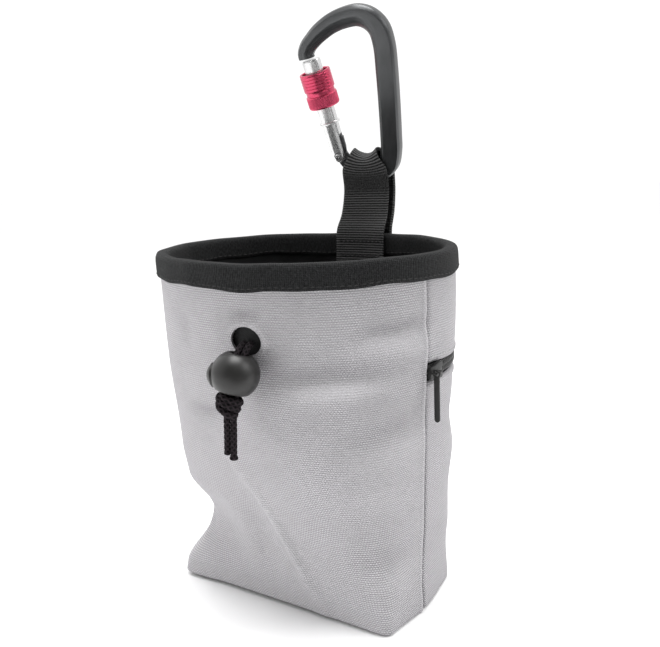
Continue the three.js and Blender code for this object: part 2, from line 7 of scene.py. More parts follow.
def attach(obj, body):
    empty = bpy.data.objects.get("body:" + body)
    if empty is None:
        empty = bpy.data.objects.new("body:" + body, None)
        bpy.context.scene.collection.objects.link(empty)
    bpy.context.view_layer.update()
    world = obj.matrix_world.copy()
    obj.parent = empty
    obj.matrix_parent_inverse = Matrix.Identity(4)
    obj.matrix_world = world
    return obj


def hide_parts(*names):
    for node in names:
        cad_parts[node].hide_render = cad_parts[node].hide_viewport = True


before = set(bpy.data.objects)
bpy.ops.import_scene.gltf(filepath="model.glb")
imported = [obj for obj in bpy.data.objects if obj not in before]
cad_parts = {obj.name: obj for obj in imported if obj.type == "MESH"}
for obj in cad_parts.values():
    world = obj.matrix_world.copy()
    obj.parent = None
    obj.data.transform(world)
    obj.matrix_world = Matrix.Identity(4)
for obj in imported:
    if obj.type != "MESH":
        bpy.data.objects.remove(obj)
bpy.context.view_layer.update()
mm = 0.001  # every size below is in millimetres
print("frame loaded with", len(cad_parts), "nodes")


# working helpers

def clearSelection():
    if bpy.context.mode != "OBJECT":
        bpy.ops.object.mode_set(mode="OBJECT")
    bpy.ops.object.select_all(action="DESELECT")


def activate(piece):
    clearSelection()
    piece.select_set(True)
    bpy.context.view_layer.objects.active = piece


def addShape(name, operator, **settings):
    clearSelection()
    operator(**settings)
    piece = bpy.context.object
    piece.name = piece.data.name = name
    return piece


def getPoints(piece):
    flat = np.empty(3 * len(piece.data.vertices))
    piece.data.vertices.foreach_get("co", flat)
    return flat.reshape(-1, 3) / mm


def setPoints(piece, points):
    piece.data.vertices.foreach_set("co", (np.asarray(points) * mm).ravel())
    piece.data.update()


def setUv(piece, u, v):  # in millimetres, for each vertex
    corner = np.empty(len(piece.data.loops), dtype=np.int32)
    piece.data.loops.foreach_get("vertex_index", corner)
    piece.data.uv_layers.active.data.foreach_set("uv", np.column_stack([u, v])[corner].ravel())


def addGrid(name, columns, rows):
    piece = addShape(name, bpy.ops.mesh.primitive_grid_add, x_subdivisions=columns, y_subdivisions=rows, size=1)
    flat = getPoints(piece) * mm
    column = np.rint((flat[:, 0] + 0.5) * columns).astype(int)
    row = np.rint((flat[:, 1] + 0.5) * rows).astype(int)
    return piece, column, row


def editAll(piece, *steps):  # each step acts on the whole mesh
    activate(piece)
    bpy.ops.object.mode_set(mode="EDIT")
    for operator, settings in steps:
        bpy.ops.mesh.select_all(action="SELECT")
        operator(**settings)
    bpy.ops.object.mode_set(mode="OBJECT")


mergeDoubles = (bpy.ops.mesh.remove_doubles, {"threshold": 2e-6})
fillEnds = (bpy.ops.mesh.fill_holes, {"sides": 0})


def closeSeams(piece, *steps):
    editAll(piece, mergeDoubles, *steps, (bpy.ops.mesh.normals_make_consistent, {"inside": False}))


def turnAndSize(piece, size):  # a quarter turn about Y, then the size along each axis
    middle = {"center_override": (0, 0, 0)}
    editAll(piece, (bpy.ops.transform.rotate, {"value": math.pi / 2, "orient_axis": "Y", **middle}),
            (bpy.ops.transform.resize, {"value": size, **middle}))


def applyModifier(piece, kind, **settings):
    activate(piece)
    modifier = piece.modifiers.new(kind.lower(), kind)
    for key, value in settings.items():
        setattr(modifier, key, value)
    bpy.ops.object.modifier_apply(modifier=modifier.name)


def thicken(piece, thickness):  # the outer face stays where it is
    applyModifier(piece, "SOLIDIFY", thickness=thickness * mm, offset=-1, use_even_offset=True)


def bevelEdges(piece, width, segments=2, angle=35):
    applyModifier(piece, "BEVEL", width=width * mm, segments=segments, limit_method="ANGLE",
                  angle_limit=math.radians(angle), harden_normals=False)


def carve(piece, tool):  # the tool is used up
    applyModifier(piece, "BOOLEAN", operation="DIFFERENCE", solver="EXACT", object=tool)
    bpy.data.objects.remove(tool)


def moveBy(piece, matrix):  # matrix in millimetres
    points = getPoints(piece)
    turn = np.array(matrix.to_3x3())
    setPoints(piece, points @ turn.T + np.array(matrix.translation))


def latheSpin(name, profile, steps):
    piece = addShape(name, bpy.ops.mesh.primitive_circle_add, vertices=len(profile), radius=1)
    setPoints(piece, [(r, 0, z) for r, z in profile])
    wholeTurn = {"steps": steps, "angle": 2 * math.pi, "center": (0, 0, 0), "axis": (0, 0, 1)}
    editAll(piece, (bpy.ops.mesh.spin, wholeTurn))
    closeSeams(piece)
    return piece


def smoothLine(points, perSpan):  # centripetal curve through the points
    points = np.asarray(points, dtype=float)
    ends = np.vstack([2 * points[0] - points[1], points, 2 * points[-1] - points[-2]])
    line = []
    for i in range(len(points) - 1):
        p0, p1, p2, p3 = ends[i:i + 4]
        d0, d1, d2 = (max(np.linalg.norm(b - a) ** 0.5, 1e-4) for a, b in ((p0, p1), (p1, p2), (p2, p3)))
        m1 = ((p1 - p0) / d0 - (p2 - p0) / (d0 + d1) + (p2 - p1) / d1) * d1
        m2 = ((p2 - p1) / d1 - (p3 - p1) / (d1 + d2) + (p3 - p2) / d2) * d1
        for k in range(perSpan):
            t = k / perSpan
            line.append(p1 * (2 * t**3 - 3 * t**2 + 1) + m1 * (t**3 - 2 * t**2 + t)
                        + p2 * (3 * t**2 - 2 * t**3) + m2 * (t**3 - t**2))
    line.append(points[-1])
    return np.array(line)


def unit(vectors):
    return vectors / np.linalg.norm(vectors, axis=-1, keepdims=True)


def eased(t):
    return t * t * (3 - 2 * t)


def lengthsAlong(line):
    return np.concatenate([[0], np.cumsum(np.linalg.norm(np.diff(line, axis=0), axis=1))])


def pointsAt(line, run, want):
    return np.stack([np.interp(want, run, line[:, k]) for k in range(3)], axis=1)


def evenLine(line, step):
    run = lengthsAlong(line)
    return pointsAt(line, run, np.linspace(0, run[-1], max(2, int(round(run[-1] / step)) + 1)))


def framesAlong(line, side):  # tangents and two directions across, carried along without twist
    tangent = unit(np.gradient(line, axis=0))
    first = np.empty_like(line)
    across = np.asarray(side, dtype=float)
    for i, t in enumerate(tangent):
        across = first[i] = unit(across - t * np.dot(across, t))
    return tangent, first, np.cross(tangent, first)


def finishPiece(piece, material, body, slotName, *nodes, smooth=40):
    piece.data.materials.clear()
    piece.data.materials.append(material)
    activate(piece)
    bpy.ops.object.shade_smooth_by_angle(angle=math.radians(smooth))
    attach(piece, body)
    if nodes:
        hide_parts(*nodes)
    return piece


# materials: a wire is a socket that can be used in sums

class Wire:
    def __init__(self, finish, socket):
        self.finish = finish
        self.socket = socket

    def maths(self, operation, *others):
        return self.finish.node("ShaderNodeMath", {"operation": operation}, [self, *others])

    def __add__(self, other):
        return self.maths("ADD", other)

    __radd__ = __add__

    def __mul__(self, other):
        return self.maths("MULTIPLY", other)

    __rmul__ = __mul__

    def __sub__(self, other):
        return self.maths("SUBTRACT", other)

    def __rsub__(self, other):
        return self.finish.node("ShaderNodeMath", {"operation": "SUBTRACT"}, [other, self])

    def __truediv__(self, other):
        return self.maths("DIVIDE", other)

    def wave(self, pitch, shift=0.0):  # runs from -1 to 1
        return (self * (2 * math.pi / pitch) + shift).maths("SINE")

    def clamped(self):
        return self.finish.node("ShaderNodeClamp", {}, {"Value": self})


class Finish:
    def __init__(self, name, **sockets):
        self.material = bpy.data.materials.new(name)
        self.material.use_nodes = True
        self.tree = self.material.node_tree
        self.shader = self.tree.nodes["Principled BSDF"]
        for key, value in sockets.items():
            self.feed(self.shader.inputs[key.replace("_", " ")], value)

    def feed(self, socket, value):
        if isinstance(value, Wire):
            self.tree.links.new(value.socket, socket)
        else:
            socket.default_value = value

    def node(self, kind, settings, sockets, output=0):
        made = self.tree.nodes.new(kind)
        for key, value in settings.items():
            setattr(made, key, value)
        pairs = sockets.items() if isinstance(sockets, dict) else enumerate(sockets)
        for key, value in pairs:
            self.feed(made.inputs[key], value)
        return Wire(self, made.outputs[output])

    def place(self, kind="Object"):
        return self.node("ShaderNodeTexCoord", {}, {}, kind)

    def onCloth(self):  # the piece's own map and its two directions, in millimetres
        place = self.place("UV")
        parts = self.node("ShaderNodeSeparateXYZ", {}, [place]).socket.node.outputs
        return place, Wire(self, parts[0]), Wire(self, parts[1])

    def noise(self, vector, scale, detail=2.0, stretch=None):
        if stretch:
            vector = self.node("ShaderNodeMapping", {}, {"Vector": vector, "Scale": stretch})
        return self.node("ShaderNodeTexNoise", {}, {"Vector": vector, "Scale": scale, "Detail": detail}, "Fac")

    def blend(self, factor, first, second):
        return self.node("ShaderNodeMix", {"data_type": "RGBA"}, {0: factor, 6: first, 7: second}, 2)

    def surface(self, colour=None, roughness=None, height=None, depth=0.1, strength=1.0):
        if colour is not None:
            self.feed(self.shader.inputs["Base Color"], colour)
        if roughness is not None:
            self.feed(self.shader.inputs["Roughness"], roughness)
        if height is not None:
            bump = {"Height": height, "Distance": depth * mm, "Strength": strength}
            self.feed(self.shader.inputs["Normal"], self.node("ShaderNodeBump", {}, bump))
        return self.material


def grey(value, warm=0.0):
    return (value * (1 + warm), value, value * (1 - warm), 1)


def canvasFinish():
    look = {"light": (0.556, 0.543, 0.563, 1), "dark": (0.228, 0.222, 0.232, 1), "across": 1.12, "row": 0.9}
    f = Finish("canvas", Roughness=0.9, Specular_IOR_Level=0.2)
    cloth, u, v = f.onCloth()
    drift = f.noise(cloth, 0.2, 2.0)
    across, up = u + drift * 0.25, v + drift * 0.25
    # the weave's dots and rows; the gaps between threads get painted shade and the raised threads painted light
    dots = across.wave(look["across"]) * up.wave(2 * look["row"])
    rows = up.wave(look["row"], -math.pi / 2)
    slub = f.noise(cloth, 1.0, 2.0, stretch=(0.3, 1.6, 1.0))
    patch = f.noise(cloth, 0.055, 2.0)
    clear = ((patch - 0.38) * 4).clamped()
    # painted shading read from the sheet: it darkens or lightens the cloth's colour with painted shadow and
    # painted highlight
    paintedShading = f.node("ShaderNodeAttribute", {"attribute_name": "paintedShading"}, {}, "Fac")
    low = (1.1 - v / 80).clamped()  # the weave shows more towards the base, and painted light makes the cloth a little lighter there
    weave = (dots * 0.27 + rows * 0.26) * (0.35 + clear * 0.65 + low * 1.2)
    shade = weave + (slub - 0.5) * 0.3 + (patch - 0.5) * 0.2 + 0.52 + low * 0.1 - paintedShading * 0.5
    colour = f.blend(shade.clamped(), look["dark"], look["light"])
    return f.surface(colour, 0.84 + slub * 0.12, dots * 0.5 + rows * 0.5 + slub * 0.5, depth=0.15)


def bindingFinish():
    f = Finish("bindingTape", Roughness=0.85, Specular_IOR_Level=0.12, Sheen_Weight=0.05, Sheen_Roughness=0.4)
    tape, u, v = f.onCloth()
    drift = f.noise(tape, 0.5, 2.0)
    rib = (u + drift * 0.6).wave(0.75)
    cross = (v + drift * 0.4).wave(0.6)
    fleck = f.noise(tape, 1.6, 2.0, stretch=(1.0, 0.5, 1.0))
    shade = rib * 0.12 + cross * 0.10 + (fleck - 0.5) * 1.5 + 0.42
    colour = f.blend(shade.clamped(), grey(0.006, -0.02), grey(0.034, -0.02))
    return f.surface(colour, 0.80 + fleck * 0.15, rib * 0.35 + cross * 0.25 + fleck * 0.8, depth=0.2)


def liningFinish():
    f = Finish("liningNylon", Roughness=0.55, Specular_IOR_Level=0.25)
    cloth, u, v = f.onCloth()
    weave = u.wave(0.7) * v.wave(0.7)
    crumple = f.noise(cloth, 0.12, 4.0)
    colour = f.blend((crumple + weave * 0.12).clamped(), grey(0.004, -0.03), grey(0.016, -0.03))
    return f.surface(colour, 0.45 + crumple * 0.25, weave * 0.15 + crumple * 1.5, depth=0.35)


plainShadedBand = {"middle": 37.0, "fade": 4}  # plain stretch of the webbing, without ribs and darkened as painted shade, in mm along it


def webbingFinish():
    f = Finish("blackWebbing", Roughness=0.75, Specular_IOR_Level=0.2)
    strap, u, v = f.onCloth()
    rib = v.wave(1.14, math.pi / 2)
    twill = (u + v * 0.5).wave(0.55)
    fleck = f.noise(strap, 1.5, 2.0)
    flat = (1.6 - (v - plainShadedBand["middle"]).maths("ABSOLUTE") / plainShadedBand["fade"]).clamped()
    # painted light and shade: rib crests lighter than the grooves between them, and the plain stretch darker
    shade = rib * (1 - flat) * -0.6 + twill * 0.2 + (fleck - 0.5) * 1.4 + 0.45 - flat * 0.2
    colour = f.blend(shade.clamped(), grey(0.004), grey(0.120))
    return f.surface(colour, 0.6 + fleck * 0.2, twill * 0.3 + fleck * 0.4, depth=0.15)


def cordFinish():
    f = Finish("braidedCord", Roughness=0.8, Specular_IOR_Level=0.12)
    cord, u, v = f.onCloth()
    one = (u + v).wave(1.0, math.pi / 2)
    two = (u - v).wave(1.0, math.pi / 2)
    thread = (u - v).wave(0.2)
    fleck = f.noise(cord, 2.0, 2.0)
    shade = one.maths("MAXIMUM", two) * 0.45 + thread * 0.1 + (fleck - 0.5) * 0.9 + 0.1
    colour = f.blend(shade.clamped(), grey(0.003), (0.044, 0.034, 0.040, 1))
    return f.surface(colour, 0.7 + fleck * 0.2, thread * 0.3 + fleck * 0.4, depth=0.1)


def zipTapeFinish():
    f = Finish("zipTape", Roughness=0.85, Specular_IOR_Level=0.3)
    tape, u, v = f.onCloth()
    weave = (u + v).wave(0.5) * 0.6 + v.wave(1.1) * 0.4
    fleck = f.noise(tape, 1.2, 2.0)
    colour = f.blend((weave * 0.25 + fleck).clamped(), grey(0.006), grey(0.024))
    return f.surface(colour, 0.75 + fleck * 0.2, weave, depth=0.12)


def zipCoilFinish():
    f = Finish("zipCoil", Roughness=0.4)
    spot = f.place()
    fleck = f.noise(spot, 900.0, 2.0)
    colour = f.blend(fleck, grey(0.028), grey(0.085))
    return f.surface(colour, 0.32 + fleck * 0.25, fleck, depth=0.05)


def metalFinish(name, dark, light, metallic, rough, grain, scale=450.0, stretch=None, coords="Object"):
    f = Finish(name, Metallic=metallic)
    fine = f.noise(f.place(coords), scale, 3.0, stretch)
    wide = f.noise(f.place(), 60.0, 2.0)
    colour = f.blend(fine * 0.6 + wide * 0.4, dark, light)
    return f.surface(colour, rough + (fine - 0.5) * 0.12 + (wide - 0.5) * 0.08, fine, depth=grain)


def plasticFinish():
    f = Finish("togglePlastic", Roughness=0.5, Specular_IOR_Level=0.45)
    spot = f.place()
    grain = f.noise(spot, 1800.0, 2.0)
    wide = f.noise(spot, 90.0, 2.0)
    colour = f.blend(wide, grey(0.008, 0.04), grey(0.016, 0.04))
    return f.surface(colour, 0.34 + wide * 0.12, grain, depth=0.015)


def threadFinish(name, dark, light):
    f = Finish(name, Roughness=0.7)
    spot = f.place()
    twist = f.noise(spot, 2500.0, 2.0)
    return f.surface(f.blend(twist, dark, light), 0.6 + twist * 0.25, twist, depth=0.05)


canvasCloth = canvasFinish()
bindingTape = bindingFinish()
liningNylon = liningFinish()
blackWebbing = webbingFinish()
braidedCord = cordFinish()
blackTape = zipTapeFinish()
nylonCoil = zipCoilFinish()
gunmetal = metalFinish("gunmetal", grey(0.012), grey(0.034), 0.7, 0.42, 0.02)
darkAlloy = metalFinish("darkAlloy", grey(0.012, -0.03), grey(0.12, -0.03), 0.6, 0.34, 0.02,
                        1.1, (1.0, 0.06, 1.0), "UV")
brightAlloy = metalFinish("brightAlloy", grey(0.58), grey(0.78), 0.75, 0.22, 0.002, 300.0, (6.0, 6.0, 0.6))
crimsonAlloy = metalFinish("crimsonAlloy", (0.44, 0.035, 0.085, 1), (0.68, 0.10, 0.18, 1), 0.9, 0.30, 0.01)
matteToggle = plasticFinish()
darkThread = threadFinish("darkThread", grey(0.005), grey(0.016))
paleThread = threadFinish("paleThread", grey(0.33), grey(0.52))
print("finishes made")


# camera at the photo's place, looking slightly down

camera = {
    "place": (192.37, -269.30, 185.47),
    "right": (0.83502, 0.54866, -0.04130),
    "up": (-0.07870, 0.19339, 0.97796),
    "lens": 43.37,
}
lens = bpy.data.cameras.new("photoCamera")
lens.lens = camera["lens"]
lens.sensor_width = 36
lens.clip_start = 0.01
lens.clip_end = 50
eye = bpy.data.objects.new("photoCamera", lens)
bpy.context.scene.collection.objects.link(eye)
right = Vector(camera["right"]).normalized()
up = Vector(camera["up"]).normalized()
back = right.cross(up).normalized()
turn = Matrix((right, back.cross(right), back)).transposed()
eye.matrix_world = Matrix.Translation(Vector(camera["place"]) * mm) @ turn.to_4x4()
bpy.context.scene.camera = eye


# surface of the bag, with the same sections and folds as the solid and finer creases on top

bag = {
    "rimHeight": 149.8,
    # level and angle along the right seam
    "seam": [(0.0, -3.9), (0.03, -3.8), (0.08, -3.4), (0.11, -1.8), (0.15, -0.2), (0.23, 0.0), (0.33, -1.8),
             (0.48, -4.0), (0.62, -6.3), (0.81, -8.0), (0.92, -9.0), (1.0, -9.6)],
    "canvas": 1.3, "wallTop": 0.9907, "columns": 176, "frontStep": 1.15, "backStep": 1.2,
    "holeLevel": 0.808, "holeAngle": -79.6, "holeRadius": 51.5, "holeWidth": 13.0, "holeHeight": 11.0,
    "hemLift": 1.35, "hemMiddle": -100, "hemReach": 75, "hemRound": 1.8, "hemSpread": 14,
    # level, half width, half depth, squareness
    "sections": [
        (0.00, 52.3, 27.7, 26.0),
        (0.07, 52.7, 29.1, 11.0),
        (0.20, 53.3, 32.4, 5.0),
        (0.45, 56.7, 42.8, 2.9),
        (0.70, 60.3, 50.6, 2.3),
        (1.00, 63.6, 54.0, 2.0),
    ],
    # angle, level, depth, half angle, reach above, reach below
    "folds": [
        (-150, 0.215, -9.0, 44, 0.13, 0.17),
        (40, 0.32, 4.0, 48, 0.42, 0.30),
        (35, 0.85, 2.0, 55, 0.20, 0.40),
        (0, 0.00, 2.6, 27, 0.16, 0.16),
        (-152, 0.00, 2.4, 14, 0.12, 0.12),
        (-98, 0.24, -2.2, 22, 0.20, 0.16),
        (-24, 0.30, -2.0, 20, 0.26, 0.18),
    ],
    # angle and level at both ends, height, width
    "creases": [
        (-153, 0.225, -145, 0.080, -1.2, 3.0),
        (-160, 0.130, -152, 0.045, 1.2, 4.0),
        (-76, 0.708, -24, 0.718, -1.7, 4.2),
        (-66, 0.650, -26, 0.680, 2.6, 5.0),
        (-9, 0.824, -37, 0.814, -1.6, 3.4),
        (-8, 0.760, -40, 0.770, 2.0, 6.0),
        (-9, 0.565, -42, 0.535, -2.0, 5.5),
        (-12, 0.480, -46, 0.455, 1.2, 9.0),
        (-6, 0.190, -38, 0.180, -1.3, 6.0),
        (-100, 0.440, -53, 0.015, 2.5, 3.6),
        (-120, 0.582, -98, 0.590, -2.2, 3.6),
        (-85, 0.865, -72, 0.865, -1.2, 2.6),
        (-46, 0.400, -16, 0.330, 1.0, 7.0),
        (-115, 0.850, -113, 0.770, -0.8, 4.0),
        (60, 0.480, 112, 0.330, 1.2, 8.0),
        (74, 0.300, 128, 0.180, -1.2, 7.0),
        (18, 0.560, 44, 0.440, -1.0, 6.0),
        (130, 0.560, 160, 0.330, 1.2, 7.0),
        (150, 0.250, 172, 0.120, -1.0, 5.0),
    ],
}
sectionRows = np.array(bag["sections"])


def sectionAt(level):
    at, value = sectionRows[:, 0], sectionRows[:, 1:]
    high = np.clip(np.searchsorted(at, level, side="right"), 1, len(at) - 1)
    low = high - 1
    before = np.where(low > 0, low - 1, high)
    after = np.where(high < len(at) - 1, np.minimum(high + 1, len(at) - 1), low)
    half = (at[high] - at[low]) / 2
    wb = half / (at[low] - at[before])
    wa = half / (at[after] - at[high])
    p = (level - at[low]) / (at[high] - at[low])
    parts = [
        (before, -wb * p**3 + 2 * wb * p**2 - wb * p),
        (low, (1 + wb) * p**3 - (1.5 + 2 * wb) * p**2 - (0.5 - wb) * p + 1),
        (high, -(1 + wa) * p**3 + (1.5 + wa) * p**2 + 0.5 * p),
        (after, wa * p**3 - wa * p**2),
    ]
    return sum(value[i] * weight[..., None] for i, weight in parts)


def fadeOut(s):
    return np.maximum(0, 1 - s * s) ** 2


def turnFrom(angle, middle):  # from -180 to 180 degrees
    return (angle - middle + 180) % 360 - 180


def clothFolds(level, angle):
    total = np.zeros_like(level)
    for middle, at, depth, half, above, below in bag["folds"]:
        across = turnFrom(angle, middle)
        along = level - at
        total += depth * fadeOut(across / half) * fadeOut(along / np.where(along > 0, above, below))
    return total


def clothCreases(level, angle):
    total = np.zeros_like(level)
    perDegree = 0.92  # mm round the wall
    for a0, l0, a1, l1, height, width in bag["creases"]:
        x = turnFrom(angle, a0) * perDegree
        y = (level - l0) * bag["rimHeight"]
        dx, dy = (a1 - a0) * perDegree, (l1 - l0) * bag["rimHeight"]
        part = (x * dx + y * dy) / (dx * dx + dy * dy)
        aside = (x * dy - y * dx) / math.hypot(dx, dy)
        total += height * np.exp(-((aside / width) ** 2)) * fadeOut((part - 0.5) / 0.75)
    ripple = np.sin(np.radians(angle * 9 + 40)) * np.sin(level * 21 + 1)
    ripple = ripple + np.sin(np.radians(angle * 5)) * np.sin(level * 34)
    return total + 0.16 * ripple * fadeOut((level - 0.5) / 0.52)


def baseLift(angle):  # the front's lower edge stands a little off the table
    return bag["hemLift"] * np.maximum(0, 1 - (turnFrom(angle, bag["hemMiddle"]) / bag["hemReach"]) ** 4)


def bagPoints(level, angle, offset):
    level, angle, offset = np.broadcast_arrays(*(np.asarray(part, float) for part in (level, angle, offset)))
    size = sectionAt(level)
    a = np.radians(angle)
    power = size[..., 2]
    partX = (np.abs(np.cos(a)) / (size[..., 0] + offset)) ** power
    partY = (np.abs(np.sin(a)) / (size[..., 1] + offset)) ** power
    radius = (partX + partY) ** (-1 / power) + clothFolds(level, angle) + clothCreases(level, angle)
    height = level * bag["rimHeight"] + baseLift(angle) * np.clip(1 - level / 0.06, 0, 1)
    return np.stack([radius * np.cos(a), radius * np.sin(a), height], axis=-1)


def rightSeam(level):
    return np.interp(level, *np.array(bag["seam"]).T)


def leftSeam(level):
    return -180 - rightSeam(level)


def clothSheet(name, start, end, levels, columns, shape):
    piece, column, row = addGrid(name, columns, len(levels) - 1)
    angles = np.empty((len(levels), columns + 1))
    along = np.empty_like(angles)
    edge = np.array([0.0, 0.2, 0.45, 0.75, 1.1, 1.6, 2.3])
    for i, level in enumerate(levels):
        fine = np.linspace(start(level), end(level), 900)
        run = lengthsAlong(bagPoints(level, fine, 0.0))
        middle = np.linspace(3.1, run[-1] - 3.1, columns + 1 - 2 * len(edge))
        along[i] = np.concatenate([edge, middle, run[-1] - edge[::-1]])
        angles[i] = np.interp(along[i], run, fine)
    level = np.asarray(levels)[row]
    angle, fromStart = angles[row, column], along[row, column]
    toEnd = along[row, -1] - fromStart
    offset, tone, rise = shape(level, angle, fromStart, toEnd)
    points = bagPoints(level, angle, offset)
    points[:, 2] += rise
    setPoints(piece, points)
    # painted shading stored on the sheet: the shape's tone, plus the creases' slope painting faces that tilt up
    # lighter and faces that tilt down darker, plus their height painting crests lighter and hollows darker
    step = 0.004
    slope = clothCreases(level + step, angle) - clothCreases(level - step, angle)
    slope /= 2 * step * bag["rimHeight"]
    paintedShading = tone + slope - 0.12 * clothCreases(level, angle)
    piece.data.attributes.new("paintedShading", "FLOAT", "POINT").data.foreach_set("value", paintedShading)
    setUv(piece, (fromStart - toEnd) / 2, level * bag["rimHeight"])
    return piece


def turnedUnder(level, angle):  # rounded lower edge of the walls
    radius, rise = bag["hemRound"], level * bag["rimHeight"]
    low = np.clip(radius - rise, 0, radius)
    swell = np.clip(1 - rise / bag["hemSpread"], 0, 1) ** 2
    return np.sqrt(radius**2 - low**2) - radius + 0.7 * baseLift(angle) * swell


def ridge(distance, middle, width, height):
    return height * np.exp(-(((distance - middle) / width) ** 2))


# front of the bag, with the cord hole punched through it

def rowLevels(low, high, step):  # rows of a wall, closer together near both edges
    height = bag["rimHeight"]
    edge = np.array([0.0, 0.12, 0.35, 0.7, 1.1, 1.6, 2.2]) / height
    middle = np.linspace(low + edge[-1], high - edge[-1], int((high - low) * height / step))
    return np.concatenate([low + edge[:-1], middle, (high - edge[:-1])[::-1]])


def holeLip(level, angle):
    x = np.radians(angle - bag["holeAngle"]) * bag["holeRadius"]
    y = (level - bag["holeLevel"]) * bag["rimHeight"]
    reach = np.hypot(2 * x / bag["holeWidth"], 2 * y / bag["holeHeight"])
    towards = (0.75 * x + 0.66 * y) / np.maximum(np.hypot(x, y), 1e-6)
    return ridge(reach, 1.14, 0.16, 0.5) * (1 + 0.9 * towards)


def seamGape(level):  # the seam opens towards the base
    return 1 - 0.88 * np.clip((level - 0.3) / 0.35, 0, 1)


def frontShape(level, angle, fromStart, toEnd):  # its edges lie turned over the back's
    lip = holeLip(level, angle)
    # tone is painted light and shade: a painted highlight on the hole's lip, a painted shadow in the seam's gap
    # and a painted highlight along the turned edge
    offset, tone = turnedUnder(level, angle) + lip, -0.8 * lip
    for toSeam in (fromStart, toEnd):
        offset += ridge(toSeam, 1.2, 0.9, 0.6) - ridge(toSeam, 0, 0.35, 0.6)
        tone += ridge(toSeam, 0, 0.5, 3.6) * seamGape(level) - ridge(toSeam, 1.2, 0.6, 0.8)
    return offset, tone, 0 * level


frontCanvas = clothSheet("frontCanvas", leftSeam, rightSeam, rowLevels(0, bag["wallTop"], bag["frontStep"]),
                         bag["columns"], frontShape)
thicken(frontCanvas, bag["canvas"])
holeMiddle = bagPoints(bag["holeLevel"], bag["holeAngle"], 0.0)
outward = Vector((math.cos(math.radians(bag["holeAngle"])), math.sin(math.radians(bag["holeAngle"])), 0))
carve(frontCanvas, addShape(
    "holePunch", bpy.ops.mesh.primitive_cylinder_add, vertices=56, radius=0.5, depth=1,
    location=Vector(holeMiddle) * mm, rotation=outward.to_track_quat("Z", "Y").to_euler(),
    scale=(bag["holeWidth"] * mm, bag["holeHeight"] * mm, 12 * mm)))
finishPiece(frontCanvas, canvasCloth, "root", "canvas", "front_panel", smooth=50)
print("front of the bag made")


# back of the bag, in two parts with turned edges along the zip

zipLine = {
    "low": 0.667, "high": 0.722, "sag": (0.7, 1.9), "sagReach": 20,
    "tape": 0.8, "tapeSink": -1.45, "tapeOverlap": 0.012,
    "loop": (1.0, 1.25, 0.62), "coilPitch": 0.62, "coilHalf": 0.95, "coilSink": -0.35,
}


def fullTurn(level):
    return leftSeam(level) + 360


def weltEdge(distance):
    return ridge(distance, 1.7, 1.1, 0.55) - ridge(distance, 0, 0.6, 0.7)


def zipDroop(angle):  # the upper edge sags over the zip
    along = np.clip(np.minimum(angle + 7, 187 - angle) / 25, 0, 1)
    least, more = zipLine["sag"]
    return -least - more * eased(along)


def backShape(edgeLevel, droop):
    def shape(level, angle, fromStart, toEnd):
        toEdge = np.abs(level - edgeLevel) * bag["rimHeight"]
        offset, tone = weltEdge(toEdge) + turnedUnder(level, angle), 0 * level
        for toSeam in (fromStart, toEnd):
            offset -= ridge(toSeam, 0, 1.2, 1.5) * (0.3 + 0.7 * seamGape(level))
            # painted shadow on the back's cloth beside the seam, where it runs under the front's turned edge
            tone += ridge(toSeam, 0.2, 1.0, 4.2) * seamGape(level) + ridge(toSeam, 0, 2.5, 0.2)
        return offset, tone, droop * zipDroop(angle) * np.clip(1 - toEdge / zipLine["sagReach"], 0, 1)
    return shape


for name, node, low, high, zipEdge, droop in (
        ("backCanvasLower", "back_panel_lower", 0, zipLine["low"], zipLine["low"], 0),
        ("backCanvasUpper", "back_panel_upper", zipLine["high"], bag["wallTop"], zipLine["high"], 1)):
    backCanvas = clothSheet(name, rightSeam, fullTurn, rowLevels(low, high, bag["backStep"]), bag["columns"],
                            backShape(zipEdge, droop))
    thicken(backCanvas, bag["canvas"])
    finishPiece(backCanvas, canvasCloth, "root", "canvas", node, smooth=50)
print("back of the bag made")


# base and lining

inside = {"canvasToBase": -3.6, "base": 1.5, "lining": 1.0, "liningFace": -2.6, "floorTop": 2.8}


def ringAngles(level, columns):  # even steps round the whole bag
    fine = np.linspace(-90, 270, 1600)
    run = lengthsAlong(bagPoints(level, fine, 0.0))
    return np.interp(np.linspace(0, run[-1], columns + 1), run, fine), run[-1]


def basePanel():
    columns, rows = 180, 14
    piece, column, row = addGrid("baseCanvas", columns, rows)
    angles, _ = ringAngles(0.0, columns)
    edge = bagPoints(0.0, angles, inside["canvasToBase"])
    share = np.linspace(1, 0, rows + 1)[row]
    points = edge[column] * share[:, None]
    lift = baseLift(angles[column]) * np.clip((share - 0.6) / 0.4, 0, 1) ** 2
    points[:, 2] = 0.15 * fadeOut(share / 1.05) + lift
    setPoints(piece, points)
    setUv(piece, points[:, 0], points[:, 1])
    closeSeams(piece)
    if piece.data.polygons[0].normal.z > 0:
        piece.data.flip_normals()
    thicken(piece, inside["base"])
    return finishPiece(piece, canvasCloth, "root", "canvas", "base_panel")


def liningWrinkle(level, angle):  # only ever away from the canvas
    a = np.radians(angle)
    wave = 0.5 + 0.5 * np.sin(7 * a + 9 * level + 1.2 * np.sin(3 * a))
    small = 0.5 + 0.5 * np.sin(17 * a - 26 * level + 2 * np.sin(5 * a + 8 * level))
    return -(1.3 * wave**2 + 0.55 * small) * fadeOut((level - 0.45) / 0.62)


